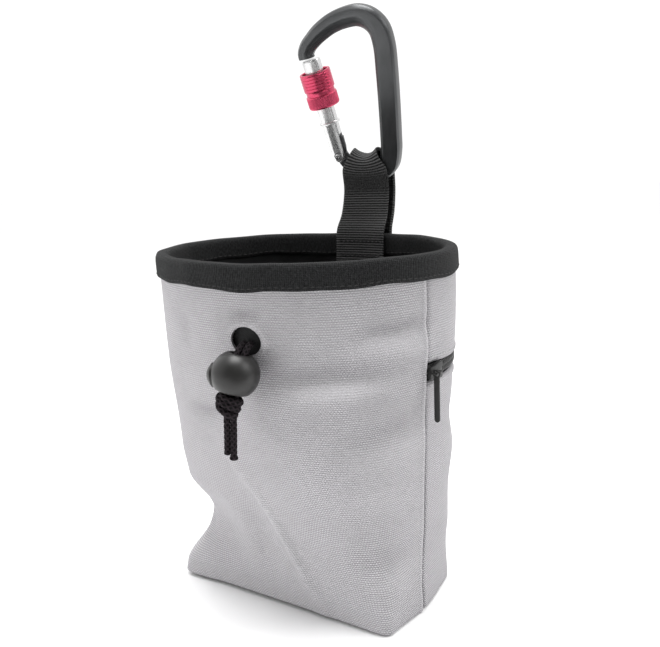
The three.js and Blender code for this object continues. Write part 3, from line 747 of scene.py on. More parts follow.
def bagLining():
    columns, floorRows = 220, 16
    floorLevel = inside["floorTop"] / bag["rimHeight"]
    wall = np.linspace(bag["wallTop"], floorLevel, 118)
    piece, column, row = addGrid("liningCloth", columns, len(wall) + floorRows - 1)
    points = np.empty((len(row), 3))
    uv = np.empty((len(row), 2))
    for i in range(len(wall) + floorRows):
        these = row == i
        level = wall[min(i, len(wall) - 1)]
        angles, around = ringAngles(level, columns)
        angle = angles[column[these]]
        ring = bagPoints(level, angle, inside["liningFace"] + liningWrinkle(np.full_like(angle, level), angle))
        share = 1 - max(0, i - len(wall) + 1) / floorRows
        ring[:, :2] *= share
        points[these] = ring
        uv[these, 0] = column[these] / columns * around
        uv[these, 1] = level * bag["rimHeight"] - (1 - share) * 40
    setPoints(piece, points)
    setUv(piece, *uv.T)
    editAll(piece, mergeDoubles)
    thicken(piece, inside["lining"])
    return finishPiece(piece, liningNylon, "root", "lining", "lining", smooth=60)


basePanel()
bagLining()
print("base and lining made")


# binding folded over the rim

binding = {
    "columns": 300,
    # offset from the canvas face and drop below the rim, round the folded tape
    "profile": [
        (0.30, 9.3), (0.75, 9.75), (1.25, 9.5), (1.42, 8.9), (1.45, 7.6), (1.48, 6.0), (1.50, 4.4), (1.48, 2.9),
        (1.38, 1.7), (1.10, 0.8), (0.60, 0.25), (-0.20, 0.0), (-1.30, -0.05), (-2.30, 0.0), (-3.15, 0.25),
        (-3.70, 0.8), (-3.98, 1.7), (-4.05, 2.9), (-4.08, 4.4), (-4.05, 6.0), (-4.02, 7.6), (-4.00, 8.9),
        (-3.80, 9.5), (-3.35, 9.75), (-2.90, 9.3), (-2.90, 5.0), (-2.90, 1.35), (-1.30, 1.25), (0.30, 1.35),
        (0.30, 5.0),
    ],
}


def rimPoints(angle, offset, drop):
    a = np.radians(angle)
    sway = 0.28 * np.sin(4 * a + 0.6) + 0.2 * np.sin(9 * a + 2.0) + 0.12 * np.sin(17 * a)
    hang = np.clip((drop - 3) / 6, 0, 1)
    swell = 0.10 * np.sin(13 * a + 0.7) + 0.08 * np.sin(23 * a)
    level = 1 - (drop + sway * (0.45 + hang)) / bag["rimHeight"]
    return bagPoints(level, angle, offset + np.sign(offset + 1.3) * swell * (np.abs(offset + 1.3) > 2))


def rimBinding():
    profile = np.array(binding["profile"] + binding["profile"][:1])
    columns = binding["columns"]
    piece, column, row = addGrid("rimBinding", columns, len(profile) - 1)
    angles, around = ringAngles(0.97, columns)
    run = lengthsAlong(np.column_stack([profile, np.zeros(len(profile))]))
    setPoints(piece, rimPoints(angles[column], profile[row, 0], profile[row, 1]))
    setUv(piece, column / columns * around, run[row])
    closeSeams(piece)
    return finishPiece(piece, bindingTape, "root", "binding", "rim_binding", smooth=60)


rimBinding()
print("rim binding made")


# stitches: one is modelled, then a row is made of copies

def oneStitch(length, width, height):
    piece = addShape("stitch", bpy.ops.mesh.primitive_uv_sphere_add, segments=8, ring_count=5, radius=1)
    turnAndSize(piece, (length / 2, width / 2, height / 2))
    return piece


def copiesAlong(name, one, places, alongs, outs):  # one mesh of many copies, each turned to its place
    shape = getPoints(one) * mm
    faces = [tuple(p.vertices) for p in one.data.polygons]
    bpy.data.objects.remove(one)
    alongs = unit(alongs)
    outs = unit(outs - alongs * np.sum(outs * alongs, axis=1)[:, None])
    sides = np.cross(outs, alongs)
    points = (places[:, None, :] + shape[None, :, 0:1] * alongs[:, None, :]
              + shape[None, :, 1:2] * sides[:, None, :] + shape[None, :, 2:3] * outs[:, None, :])
    mesh = bpy.data.meshes.new(name)
    mesh.from_pydata((points.reshape(-1, 3) * mm).tolist(), [],
                     [tuple(i + k * len(shape) for i in face) for k in range(len(places)) for face in faces])
    piece = bpy.data.objects.new(name, mesh)
    bpy.context.scene.collection.objects.link(piece)
    return piece


def stitchRow(name, line, outs, thread, slotName, pitch=2.6, length=1.8, width=0.5, height=0.34):
    run = lengthsAlong(line)
    at = np.arange(pitch / 2, run[-1], pitch)
    places = pointsAt(line, run, at)
    along = pointsAt(line, run, at + 0.2) - places
    piece = copiesAlong(name, oneStitch(length, width, height), places, along, pointsAt(outs, run, at))
    return finishPiece(piece, thread, "root", slotName, smooth=80)


def radialFrom(line):
    return unit(line * np.array([1.0, 1.0, 0.0]))


stitches = {
    "bindingDrop": 8.3, "outer": 1.47, "inner": -4.05, "zipInset": 2.4 / bag["rimHeight"], "weltOffset": 0.45,
}
rimAngles = np.linspace(-90, 270, 900)
for name, offset, facing in (("bindingStitchOuter", stitches["outer"], 1),
                             ("bindingStitchInner", stitches["inner"], -1)):
    rimLine = rimPoints(rimAngles, offset, stitches["bindingDrop"])
    stitchRow(name, rimLine, facing * radialFrom(rimLine), darkThread, "binding")
for name, level, droop in (("zipStitchUpper", zipLine["high"] + stitches["zipInset"], 0.88),
                           ("zipStitchLower", zipLine["low"] - stitches["zipInset"], 0)):
    weltAngles = np.linspace(rightSeam(level) + 1.5, fullTurn(level) - 1.5, 900)
    weltLine = bagPoints(level, weltAngles, stitches["weltOffset"])
    weltLine[:, 2] += droop * zipDroop(weltAngles)
    stitchRow(name, weltLine, radialFrom(weltLine), paleThread, "canvas",
              pitch=2.4, length=1.6, width=0.42, height=0.3)
print("stitches made")


# zip: woven tape and a coil of small interlocked loops

def zipTape():
    overlap = zipLine["tapeOverlap"]
    levels = np.linspace(zipLine["low"] - overlap, zipLine["high"] + overlap, 9)
    piece = clothSheet("zipTapeWoven", rightSeam, fullTurn, levels, 200,
                       lambda level, angle, a, b: (0 * level + zipLine["tapeSink"], 0 * level, 0 * level))
    thicken(piece, zipLine["tape"])
    return finishPiece(piece, blackTape, "root", "zip_tape", "zip_tape")


def zipCoil():
    one = addShape("coilLoop", bpy.ops.mesh.primitive_torus_add, major_segments=10, minor_segments=6,
                   major_radius=1.0, minor_radius=0.34)
    turnAndSize(one, zipLine["loop"])
    middle = (zipLine["low"] + zipLine["high"]) / 2
    angles = np.linspace(rightSeam(middle) + 0.8, fullTurn(middle) - 0.8, 1200)
    line = evenLine(bagPoints(middle, angles, zipLine["coilSink"]), zipLine["coilPitch"])
    shifted = line.copy()
    shifted[0::2, 2] += zipLine["coilHalf"]
    shifted[1::2, 2] -= zipLine["coilHalf"]
    piece = copiesAlong("zipCoil", one, shifted, np.gradient(line, axis=0), radialFrom(line))
    return finishPiece(piece, nylonCoil, "root", "zip_teeth", "zip_teeth", smooth=80)


zipTape()
zipCoil()


# zip slider and pull: the solids' own shapes, with softened edges

def softenedNode(node, name, width, material, body, slotName, slim=1.0, shift=0.0):
    piece = bpy.data.objects.new(name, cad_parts[node].data.copy())
    bpy.context.scene.collection.objects.link(piece)
    editAll(piece, mergeDoubles, (bpy.ops.mesh.dissolve_limited, {"angle_limit": math.radians(2)}))
    points = getPoints(piece)
    front = points[:, 1].min()
    points[:, 1] = front + (points[:, 1] - front) * slim + shift
    setPoints(piece, points)
    bevelEdges(piece, width, segments=3)
    return finishPiece(piece, material, body, slotName, node, smooth=35)


softenedNode("zip_slider", "zipSlider", 0.3, gunmetal, "root", "zip_metal")
softenedNode("zip_pull", "zipPull", 0.25, gunmetal, "pull", "zip_metal", slim=0.5, shift=-1.4)
print("zip made")


# webbing loop: down inside the rim, over the carabiner's lower bar and down the outside

strap = {
    "x": 1.3, "y": 53.4, "pivot": 178.0, "yaw": math.radians(10), "lean": math.radians(20),
    "basketX": 0.1, "basketZ": 203.0, "basketRadius": 23.0,
    "barWidth": 9.2, "barThickness": 7.0, "barSquareness": 3.0,
    "turn": 22.5, "splay": 0.2, "bunch": 2.4, "free": 172.0, "width": 25.0, "thickness": 1.5,
    "gap": 0.3, "rib": 1.14, "ribHeight": 0.24, "edgeDrop": 0.45,
    "inner": -4.3, "outer": 1.7,
    # height, middle and half width of a leg
    "legs": [(136.8, -2.4, 12.8), (144.8, -2.4, 12.8), (151.8, -2.3, 12.7), (159.0, -1.3, 12.0),
             (171.0, -0.5, 11.1)],
}


def fromPlane(x, y, z):  # the carabiner's leaning plane to the bag's frame
    c, s = math.cos(strap["yaw"]), math.sin(strap["yaw"])
    level, rise = math.cos(strap["lean"]), math.sin(strap["lean"])
    up = z - strap["pivot"]
    out = y * level - up * rise
    return np.stack([strap["x"] + x * c - out * s, strap["y"] + x * s + out * c,
                     strap["pivot"] + y * rise + up * level + 0 * x], axis=-1)


def overBar(across, turn, depth):
    beta, a = np.radians(across * strap["turn"]), math.radians(turn)
    power = strap["barSquareness"]
    spread = (abs(math.cos(a)) ** power + abs(math.sin(a)) ** power) ** (-1 / power)
    side = spread * math.cos(a) * (strap["barThickness"] / 2 + strap["gap"] + depth)
    rise = spread * math.sin(a) * (strap["barWidth"] / 2 + strap["gap"] + depth)
    rise = rise + strap["bunch"] * np.abs(across) ** 1.6 * max(0.0, math.sin(a)) ** 2
    reach = strap["basketRadius"] - rise
    splay = 1 + strap["splay"] * math.cos(a) ** 2
    x = strap["basketX"] + splay * reach * np.sin(beta)
    return fromPlane(x, -side, strap["basketZ"] - reach * np.cos(beta))


def onLeg(across, leg, outside, depth):
    z, middle, half = leg
    x = middle + across * half
    offset = strap["outer"] + depth if outside else strap["inner"] - depth
    size = sectionAt(np.array(min(1.0, z / bag["rimHeight"])))
    worldX = strap["x"] + x * math.cos(strap["yaw"])
    wallY = (size[1] + offset) * np.sqrt(1 - (worldX / (size[0] + offset)) ** 2)
    wall = np.stack([worldX, wallY, z + 0 * x], axis=-1)
    side = strap["barThickness"] / 2 + strap["gap"] + depth
    free = fromPlane(x, side if outside else -side, z)
    t = min(1.0, max(0.0, (z - bag["rimHeight"]) / (strap["free"] - bag["rimHeight"])))
    return wall + (free - wall) * eased(t)


def strapLine(across, depth):  # path of one thread of the strap
    rows = [onLeg(across, leg, False, depth) for leg in strap["legs"]]
    rows += [overBar(across, turn, depth) for turn in (0, 30, 60, 90, 120, 150, 180)]
    rows += [onLeg(across, leg, True, depth) for leg in reversed(strap["legs"])]
    return smoothLine(rows, 40)


def webbingLoop():
    columns, rows = 26, 430
    piece, column, row = addGrid("webbingStrap", columns, rows)
    share = np.linspace(-1, 1, columns + 1)
    outer = np.stack([strapLine(np.array(a), strap["thickness"]) for a in share], axis=1)
    inner = np.stack([strapLine(np.array(a), 0.0) for a in share], axis=1)
    run = lengthsAlong(outer[:, columns // 2])
    at = np.interp(np.linspace(0, run[-1], rows + 1), run, np.arange(len(run)))
    low = np.minimum(at.astype(int), len(run) - 2)
    part = (at - low)[:, None, None]
    face = outer[low] * (1 - part) + outer[low + 1] * part
    lift = unit(face - (inner[low] * (1 - part) + inner[low + 1] * part))
    along = np.linspace(0, run[-1], rows + 1)
    flat = np.clip(1.6 - np.abs(along - plainShadedBand["middle"]) / plainShadedBand["fade"], 0, 1)
    rib = strap["ribHeight"] * (1 - flat) * (np.abs(np.sin(math.pi * along / strap["rib"])) - 0.6)
    edge = -strap["edgeDrop"] * np.clip((np.abs(share) - 0.9) / 0.1, 0, 1) ** 2
    points = face + lift * (rib[:, None] + edge[None, :])[:, :, None]
    setPoints(piece, points[row, column])
    setUv(piece, share[column] * strap["width"] / 2, along[row])
    thicken(piece, strap["thickness"] - 0.1)
    return finishPiece(piece, blackWebbing, "root", "webbing", "webbing_loop", smooth=60)


webbingLoop()
for name, outside, z in (("strapStitchInner", False, 140.0), ("strapStitchInnerTop", False, 146.5),
                         ("strapStitchOuter", True, 139.5), ("strapStitchOuterTop", True, 147.0)):
    crossLine = np.array([onLeg(np.array(a), (z, *strap["legs"][0][1:]), outside, strap["thickness"] + 0.12)
                          for a in np.linspace(-0.86, 0.86, 60)])
    facing = np.tile(np.array([0.0, 1.0 if outside else -1.0, 0.0]), (60, 1))
    stitchRow(name, crossLine, facing, darkThread, "webbing", pitch=2.2, length=1.6, width=0.55, height=0.5)
print("webbing made")


# carabiner: a forged bar with flat faces and faceted inner edges

bar = {
    # x and z of the centre line, width, thickness
    "rows": [
        (-20.1, 231.7, 6.9, 6.6), (-20.2, 233.5, 6.9, 6.8), (-18.5, 236.5, 7.1, 7.0), (-15.6, 239.1, 7.4, 7.0),
        (-11.9, 241.8, 8.0, 7.0), (-5.7, 245.0, 8.4, 7.0), (0.7, 246.7, 8.7, 7.0), (6.5, 247.0, 9.0, 7.0),
        (11.1, 245.1, 9.2, 7.0), (14.5, 241.1, 9.2, 7.0), (15.8, 234.7, 9.2, 7.0), (15.5, 223.1, 9.2, 7.0),
        (13.4, 195.9, 9.2, 7.0), (12.4, 187.5, 9.2, 7.0), (10.3, 181.6, 9.2, 7.0), (6.0, 179.3, 9.2, 7.0),
        (0.0, 179.8, 9.2, 7.0), (-4.0, 180.5, 9.0, 7.0), (-6.9, 181.6, 8.6, 7.0), (-8.9, 182.8, 6.6, 3.0),
        (-11.6, 187.4, 6.0, 3.0), (-11.1, 191.6, 4.4, 3.0), (-10.3, 196.0, 1.8, 2.0),
    ],
    # corners of half the section: outwards and through, as shares of the half width and half thickness
    "spine": [(1.0, 0.70), (0.84, 1.0), (-0.62, 1.0), (-0.90, 0.68), (-1.0, 0.30)],
    "crown": [(1.0, 0.40), (0.66, 0.95), (0.02, 1.0), (-0.50, 0.78), (-0.97, 0.34)],
    # how far the crown's section holds, by row of the centre line
    "crownShare": [(0, 0.75), (3, 1.0), (7, 1.0), (9.5, 0.25), (11, 0.0), (22, 0.0)],
    "edgeRound": 0.35, "girth": 32,
}


def wholeSection(half):
    half = np.array(half)
    mirrored = half * np.array([1, -1])
    return np.vstack([mirrored[:1], half, mirrored[:0:-1]])


def roundedSection(corners, halfWidth, halfThick, soft):
    corners = np.array(corners) * np.array([halfWidth, halfThick])
    before, after = np.roll(corners, 1, axis=0), np.roll(corners, -1, axis=0)
    ring = []
    for p, a, b in zip(corners, before, after):
        toA, toB = a - p, b - p
        cut = min(soft, 0.35 * np.linalg.norm(toA), 0.35 * np.linalg.norm(toB))
        pa, pb = p + toA / np.linalg.norm(toA) * cut, p + toB / np.linalg.norm(toB) * cut
        ring += [pa, (pa + pb + 2 * p) / 4, pb]
    return np.array(ring)


def carabinerBody():
    table = np.array(bar["rows"])
    perSpan = 10
    line = smoothLine(np.column_stack([table[:, 0], np.zeros(len(table)), table[:, 1]]), perSpan)
    tangent = unit(np.gradient(line, axis=0))
    place = np.arange(len(line)) / perSpan
    width = np.interp(place, np.arange(len(table)), table[:, 2])
    thick = np.interp(place, np.arange(len(table)), table[:, 3])
    share = np.interp(place, *np.array(bar["crownShare"]).T)
    spine, crown = wholeSection(bar["spine"]), wholeSection(bar["crown"])
    rings = []
    for i, p in enumerate(line):
        corners = spine * (1 - share[i]) + crown * share[i]
        ring = roundedSection(corners, width[i] / 2, thick[i] / 2, bar["edgeRound"])
        x = p[0] - tangent[i, 2] * ring[:, 0]
        z = p[2] + tangent[i, 0] * ring[:, 0]
        rings.append(fromPlane(x, ring[:, 1], z))
    rings = np.array(rings)
    columns = rings.shape[1]
    piece, column, row = addGrid("carabinerBar", columns, len(line) - 1)
    setPoints(piece, rings[row, column % columns])
    setUv(piece, column * bar["girth"] / columns, lengthsAlong(line)[row])
    closeSeams(piece, fillEnds)
    return finishPiece(piece, darkAlloy, "root", "dark_alloy", "carabiner_body", smooth=24)


carabinerBody()


# gate with its rivet, and the knurled screw sleeve

gate = {
    "hinge": (-12.7, 0, 187.3), "tilt": math.radians(-7.7), "sleeveStart": 23.0,
    "profile": [(0, -3.2), (1.7, -3.2), (2.6, -3.1), (3.15, -2.75), (3.45, -2.1), (3.55, -1), (3.6, 4),
                (3.7, 7.5), (3.8, 11), (3.88, 13.8), (3.9, 14.6), (4.2, 14.75), (4.55, 14.88),
                (4.68, 15.1), (4.68, 15.6),
                (4.55, 15.85), (4.2, 16.0), (3.95, 16.15), (3.95, 20), (4.15, 38), (4.18, 43.3), (4.08, 43.72),
                (3.8, 43.95), (2.0, 44), (0, 44)],
    "rivet": [(0, 3.25), (0.7, 3.22), (1.0, 3.12), (1.2, 2.85)],
    "slot": (12.0, 3.6, 14.0, 2.6), "pinHole": 1.42,
    "knurlBand": (0.5, 5.5), "ridges": 56, "knurl": 0.22, "knurlPitch": 0.9,
    "ringStart": 8.3, "ringPitch": 1.34, "rings": 5,
}


def frameMatrix(origin, x, y, z):
    turn = Matrix((Vector(x), Vector(y), Vector(z))).transposed().to_4x4()
    turn.translation = Vector(origin)
    return turn


def planeDirection(x, y, z):
    return fromPlane(x, y, z) - fromPlane(0, 0, 0)


gateOrigin = fromPlane(*gate["hinge"])
gateX = planeDirection(math.cos(gate["tilt"]), 0, -math.sin(gate["tilt"]))
gateY = planeDirection(0, 1, 0)
gateZ = planeDirection(math.sin(gate["tilt"]), 0, math.cos(gate["tilt"]))
gateMatrix = frameMatrix(gateOrigin, gateX, gateY, gateZ)


def gateStem():
    piece = latheSpin("gateStem", gate["profile"], 72)
    w, d, h, z = (v * mm for v in gate["slot"])
    carve(piece, addShape("forkSlot", bpy.ops.mesh.primitive_cube_add, size=1,
                          location=(0, 0, z), scale=(w, d, h)))
    carve(piece, addShape("pinDrill", bpy.ops.mesh.primitive_cylinder_add, vertices=32,
                          radius=gate["pinHole"] * mm, depth=20 * mm, rotation=(math.pi / 2, 0, 0)))
    bevelEdges(piece, 0.12, segments=2, angle=50)
    moveBy(piece, gateMatrix)
    return finishPiece(piece, brightAlloy, "gate", "silver", "carabiner_gate", smooth=30)


def gateRivet():
    half = gate["rivet"]
    piece = latheSpin("gateRivet", [*((r, -z) for r, z in half), (half[-1][0], 0), *reversed(half)], 32)
    moveBy(piece, frameMatrix(gateOrigin, gateZ, gateX, gateY))
    return finishPiece(piece, brightAlloy, "root", "silver", "gate_pin", smooth=40)


def screwSleeve():
    lower = [(7.0, z) for z in np.arange(0.75, 5.5, 0.15)]
    rings = []
    for i in range(gate["rings"]):
        foot = gate["ringStart"] + i * gate["ringPitch"]
        rings += [(6.84, foot - 0.08), (6.98, foot + 0.1), (7.0, foot + 0.6),
                  (6.98, foot + 1.06), (6.84, foot + 1.18)]
    profile = [(4.5, 0.4), (4.65, 0.12), (4.9, 0), (6.2, 0), (6.6, 0.1), (6.86, 0.35), *lower, (6.95, 5.6),
               (6.75, 5.75), (6.5, 5.85), (6.45, 6.1), (6.45, 7.4), (6.5, 7.7), (6.75, 7.85), (6.95, 8.0),
               *rings, (6.98, 15.2), (6.95, 15.5), (6.75, 15.75), (6.45, 15.8), (6.05, 15.75),
               (5.85, 15.5), (5.8, 15),
               (5.8, 12), (5.8, 8.7), (5.6, 8.5), (4.5, 8.1), (4.5, 4)]
    piece = latheSpin("screwSleeve", profile, 336)
    points = getPoints(piece)
    radius, z = np.hypot(points[:, 0], points[:, 1]), points[:, 2]
    angle = np.arctan2(points[:, 1], points[:, 0])
    low, high = gate["knurlBand"]
    lean = math.pi * (z - low) / gate["knurlPitch"]
    diamond = np.abs(np.sin(gate["ridges"] * angle / 2 + lean) * np.sin(gate["ridges"] * angle / 2 - lean))
    fade = np.clip(np.minimum(z - low, high - z) / 0.4, 0, 1) * (radius > 6.8)
    scale = 1 + gate["knurl"] * (diamond - 0.75) * fade / np.maximum(radius, 1e-6)
    points[:, :2] *= scale[:, None]
    setPoints(piece, points)
    moveBy(piece, frameMatrix(gateOrigin + gate["sleeveStart"] * gateZ, gateX, gateY, gateZ))
    return finishPiece(piece, crimsonAlloy, "sleeve", "crimson", "gate_sleeve", smooth=32)


gateStem()
gateRivet()
screwSleeve()
print("carabiner made")


# ball toggle with its push button

toggle = {
    "centre": (10.9, -60.3, 110.9),
    "boreAim": (0.16, 0.235, 0.96), "buttonAim": (-0.93, -0.37, 0),
    "radius": 8.9, "top": 7.7, "flat": 6.6, "bore": 3.1,
    "buttonRadius": 4.5, "pocketRadius": 4.75, "pocketFloor": 3.9, "pocketReach": 12,
    "buttonDip": math.radians(15), "buttonTip": 10.6,
}
toggleZ = Vector(toggle["boreAim"]).normalized()
toggleY = toggleZ.cross(-Vector(toggle["buttonAim"])).normalized()
toggleX = toggleY.cross(toggleZ)
toggleMatrix = frameMatrix(toggle["centre"], toggleX, toggleY, toggleZ)


def toggleBall():
    r, bore, top, flat = (toggle[key] for key in ("radius", "bore", "top", "flat"))
    swing = np.linspace(math.asin(top / r) - 0.05, -math.asin(flat / r) + 0.05, 33)
    profile = [(bore, top - 0.9), (bore + 0.12, top - 0.35), (bore + 0.45, top - 0.05), (bore + 0.9, top)]
    profile += [(r * math.cos(a), r * math.sin(a)) for a in swing]
    profile += [(5.7, -flat + 0.02), (5.3, -flat), (bore + 0.5, -flat), (bore + 0.1, -flat + 0.2),
                (bore, -flat + 0.7), (bore, 0)]
    piece = latheSpin("toggleBall", profile, 96)
    reach = (toggle["pocketFloor"] + toggle["pocketReach"]) / 2
    aim = -Vector((math.cos(toggle["buttonDip"]), 0, math.sin(toggle["buttonDip"])))
    carve(piece, addShape(
        "pocketDrill", bpy.ops.mesh.primitive_cylinder_add, vertices=64, radius=toggle["pocketRadius"] * mm,
        depth=(toggle["pocketReach"] - toggle["pocketFloor"]) * mm,
        location=aim * reach * mm, rotation=aim.to_track_quat("Z", "Y").to_euler()))
    bevelEdges(piece, 0.3, segments=3, angle=40)
    moveBy(piece, toggleMatrix)
    return finishPiece(piece, matteToggle, "root", "toggle_plastic", "toggle_ball", smooth=32)


def toggleButton():
    r, tip = toggle["buttonRadius"], toggle["buttonTip"]
    dome = [(r * k, tip - 2.2 * k**2.4) for k in np.linspace(1, 0, 12)]
    profile = [(0, 6.1), (r - 0.3, 6.1), (r, 6.4), (r, tip - 2.9), *dome]
    piece = latheSpin("toggleButton", profile, 64)
    facing = -(toggleX * math.cos(toggle["buttonDip"]) + toggleZ * math.sin(toggle["buttonDip"]))
    moveBy(piece, frameMatrix(toggle["centre"], toggleY, facing.cross(toggleY), facing))
    return finishPiece(piece, matteToggle, "button", "toggle_plastic", "toggle_button", smooth=40)


ball = toggleBall()
button = toggleButton()
print("toggle made")


# drawcord: two braided strands with melted ends, tied in a knot under the ball

drawcord = {
    "diameter": 2.4, "carriers": 4, "lay": 2.1, "relief": 0.15,
    "spread": (1.176, 0.756, 0), "bendCorner": 9.6, "bendRadius": 6.6, "boreStations": (-4, -12),
    # side of the bore, exit from the hole, and the places after the bend
    "left": (-1, (8.58, -51.26, 120.14), [
        (9.25, -61.99, 107.06), (8.90, -62.99, 103.01), (8.75, -63.8, 99.39), (8.92, -64.22, 96.33),
        (8.75, -64.27, 92.5), (8.25, -64.0, 88.0), (7.3, -63.45, 81.0)]),
    "right": (1, (11.3, -50.97, 120.14), [
        (11.6, -60.48, 107.06), (11.25, -61.47, 103.01), (11.0, -62.36, 99.39), (10.95, -62.9, 96.33),
        (10.8, -63.0, 92.5), (10.55, -63.1, 87.5), (10.0, -63.3, 79.3)]),
    # turn, radius and height in the toggle's frame, along the knot's wraps
    "knot": [(-190, 1.2, -10.5), (-150, 3.2, -8.4), (-100, 3.9, -8.5), (-50, 3.9, -9.1), (0, 3.9, -9.6),
             (60, 3.8, -9.0), (120, 3.8, -8.2), (180, 3.9, -8.9), (225, 4.0, -9.9), (270, 4.0, -10.6),
             (315, 3.9, -11.4), (360, 3.6, -12.0), (420, 3.3, -11.4), (480, 3.3, -10.8), (530, 3.7, -11.2),
             (575, 3.4, -12.3), (615, 3.2, -13.2), (650, 3.2, -14.0), (690, 3.3, -14.4), (730, 2.9, -14.0),
             (780, 1.2, -12.4)],
    "knotDiameter": 2.6,
}


def roundedCorner(start, corner, end, radius):
    before, after = unit(start - corner), unit(end - corner)
    half = math.acos(np.dot(before, after)) / 2
    inward, forward = unit(before + after), unit(after - before)
    swing = np.linspace(-1, 1, 5)[:, None] * (math.pi / 2 - half)
    middle = corner + inward * radius / math.sin(half)
    return middle + radius * (np.sin(swing) * forward - np.cos(swing) * inward)


def strandRoute(side, exit, tail):  # out of the hole, round a bend above the ball, then down
    beside = np.array(toggle["centre"]) + side * np.array(drawcord["spread"])
    corner = beside + drawcord["bendCorner"] * np.array(toggleZ)
    bore = [beside + station * np.array(toggleZ) for station in drawcord["boreStations"]]
    bend = roundedCorner(np.array(exit), corner, bore[0], drawcord["bendRadius"])
    upper = smoothLine(np.vstack([exit, bend, bore]), 2)
    return np.vstack([upper[:2 * len(bend) + 2], tail])


def braidTube(name, line, diameter, melt, rounds):
    columns, step = 40, 0.2
    line = evenLine(line, step)
    for _ in range(rounds):
        line[1:-1] = (line[:-2] + 2 * line[1:-1] + line[2:]) / 4
    tangent, first, second = framesAlong(line, (0.3, -0.9, 0.2))
    run = lengthsAlong(line)
    piece, column, row = addGrid(name, columns, len(line) - 1)
    turn = 2 * math.pi * column / columns
    along = 2 * math.pi * run[row] / drawcord["lay"]
    weave = np.maximum(np.cos(drawcord["carriers"] * turn + along), np.cos(drawcord["carriers"] * turn - along))
    left = run[-1] - run[row]
    radius = diameter / 2 + drawcord["relief"] * (weave - 0.75) * np.clip(left / 1.0, 0.15, 1)
    radius *= 1 + melt * np.exp(-(((left - 0.7) / 0.9) ** 2))
    radius *= np.sqrt(np.clip(1 - (1 - left / 0.6).clip(0, 1) ** 2, 0.06, 1))
    around = np.cos(turn)[:, None] * first[row] + np.sin(turn)[:, None] * second[row]
    setPoints(piece, line[row] + radius[:, None] * around)
    setUv(piece, drawcord["carriers"] * column / columns, run[row] / drawcord["lay"])
    closeSeams(piece, fillEnds)
    return piece, line


def cordKnot():
    table = np.array(drawcord["knot"])
    a = np.radians(table[:, 0])
    local = np.stack([table[:, 1] * np.cos(a), table[:, 1] * np.sin(a), table[:, 2]], axis=1)
    turn = np.array(toggleMatrix.to_3x3())
    line = smoothLine(local @ turn.T + np.array(toggle["centre"]), 12)
    piece, _ = braidTube("cordKnot", line, drawcord["knotDiameter"], 0.0, 6)
    return finishPiece(piece, braidedCord, "root", "cord", "cord_knot", smooth=60)


knot = cordKnot()
for side, melt, node, carried in (("left", 0.06, "drawcord_left", [knot, ball, button]),
                                  ("right", 0.3, "drawcord_right", [])):
    strand, path = braidTube("drawcord" + side.capitalize(), smoothLine(strandRoute(*drawcord[side]), 8),
                             drawcord["diameter"], melt, 90)
    finishPiece(strand, braidedCord, "root", "cord", node, smooth=60)
    path = path * mm
    print(side, "strand is", round(float(lengthsAlong(path)[-1]) / mm, 1), "mm long")


# floor, dark cards for the reflections, and soft lights

studio = {
    "floor": 8.0, "sky": 1.07, "key": 1.3, "fill": 1.7, "front": 2.6, "top": 13.0,
    "roomRadius": 2.2, "roomArc": (-110, 2), "roomHeights": (0.04, 4.2), "roomTone": 0.16,
    "tableTone": 0.20, "tableHeight": 0.004, "glowTone": 0.97, "glow": 0.7, "glowHeight": 0.001,
}
floor = addShape("studioFloor", bpy.ops.mesh.primitive_plane_add, size=studio["floor"], location=(0, 0, 0))
floorPaint = Finish("floorPaint", Roughness=0.75)
paperGrain = floorPaint.noise(floorPaint.place(), 40.0, 3.0)
paperTone = floorPaint.blend(paperGrain, grey(0.955), grey(0.985))
floor.data.materials.append(floorPaint.surface(paperTone, 0.72 + paperGrain * 0.1, paperGrain, depth=0.05))


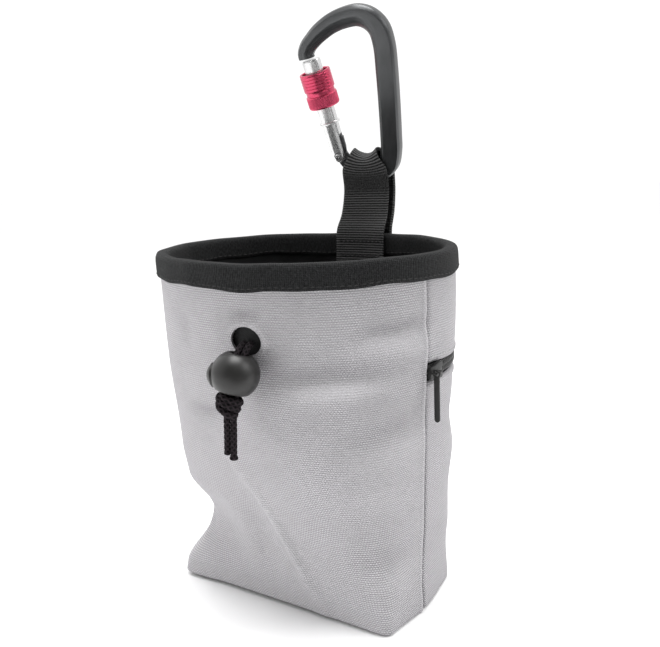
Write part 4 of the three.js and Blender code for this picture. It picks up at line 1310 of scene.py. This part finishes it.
def studioCard(name, columns, corners, tone, glow=0.0):
    piece, column, row = addGrid(name, columns, 1)
    setPoints(piece, np.array(corners)[row, column] / mm)
    paint = Finish(name + "Paint", Roughness=1.0, Emission_Color=grey(1.0), Emission_Strength=glow)
    piece.data.materials.append(paint.surface(grey(tone)))
    return piece


roomArc = np.radians(np.linspace(*studio["roomArc"], 25))
roomWall = [[(studio["roomRadius"] * math.cos(a), studio["roomRadius"] * math.sin(a), z) for a in roomArc]
            for z in studio["roomHeights"]]
studioCard("roomCard", 24, roomWall, studio["roomTone"]).visible_camera = False
tableEdge = np.array([[(0.40, -0.87, 0), (1.30, -0.36, 0)], [(0.05, -0.255, 0), (1.10, 0.343, 0)]])
tableCard = studioCard("tableCard", 1, tableEdge + [0, 0, studio["tableHeight"]], studio["tableTone"])
tableCard.visible_camera = tableCard.visible_shadow = False
# a glowing patch, painted light, keeps the floor under that card white
studioCard("tableGlow", 1, tableEdge + [0, 0, studio["glowHeight"]], studio["glowTone"], studio["glow"])


def softLight(name, place, aim, size, power):
    lamp = bpy.data.lights.new(name, "AREA")
    lamp.shape = "RECTANGLE"
    lamp.size, lamp.size_y = size
    lamp.energy = power
    holder = bpy.data.objects.new(name, lamp)
    bpy.context.scene.collection.objects.link(holder)
    holder.location = place
    holder.rotation_euler = (Vector(aim) - Vector(place)).to_track_quat("-Z", "Y").to_euler()
    return holder


softLight("keyLight", (-0.95, 0.10, 0.70), (0, 0, 0.12), (0.8, 0.8), studio["key"])
softLight("fillLight", (0.60, 0.10, 0.55), (0.24, 0.02, 0), (0.4, 0.4), studio["fill"])
frontLight = softLight("frontLight", (-0.36, -0.86, 0.11), (-0.01, 0, 0.07), (0.9, 0.18), studio["front"])
frontLight.visible_glossy = False
softLight("topLight", (0.03, 0.02, 1.15), (0, 0, 0.12), (0.6, 0.6), studio["top"])
world = bpy.data.worlds.new("studioWorld")
bpy.context.scene.world = world
world.use_nodes = True
sky = world.node_tree.nodes["Background"].inputs
sky["Color"].default_value = grey(1.0)
sky["Strength"].default_value = studio["sky"]
bpy.context.scene.view_settings.view_transform = "Standard"
print("studio made")
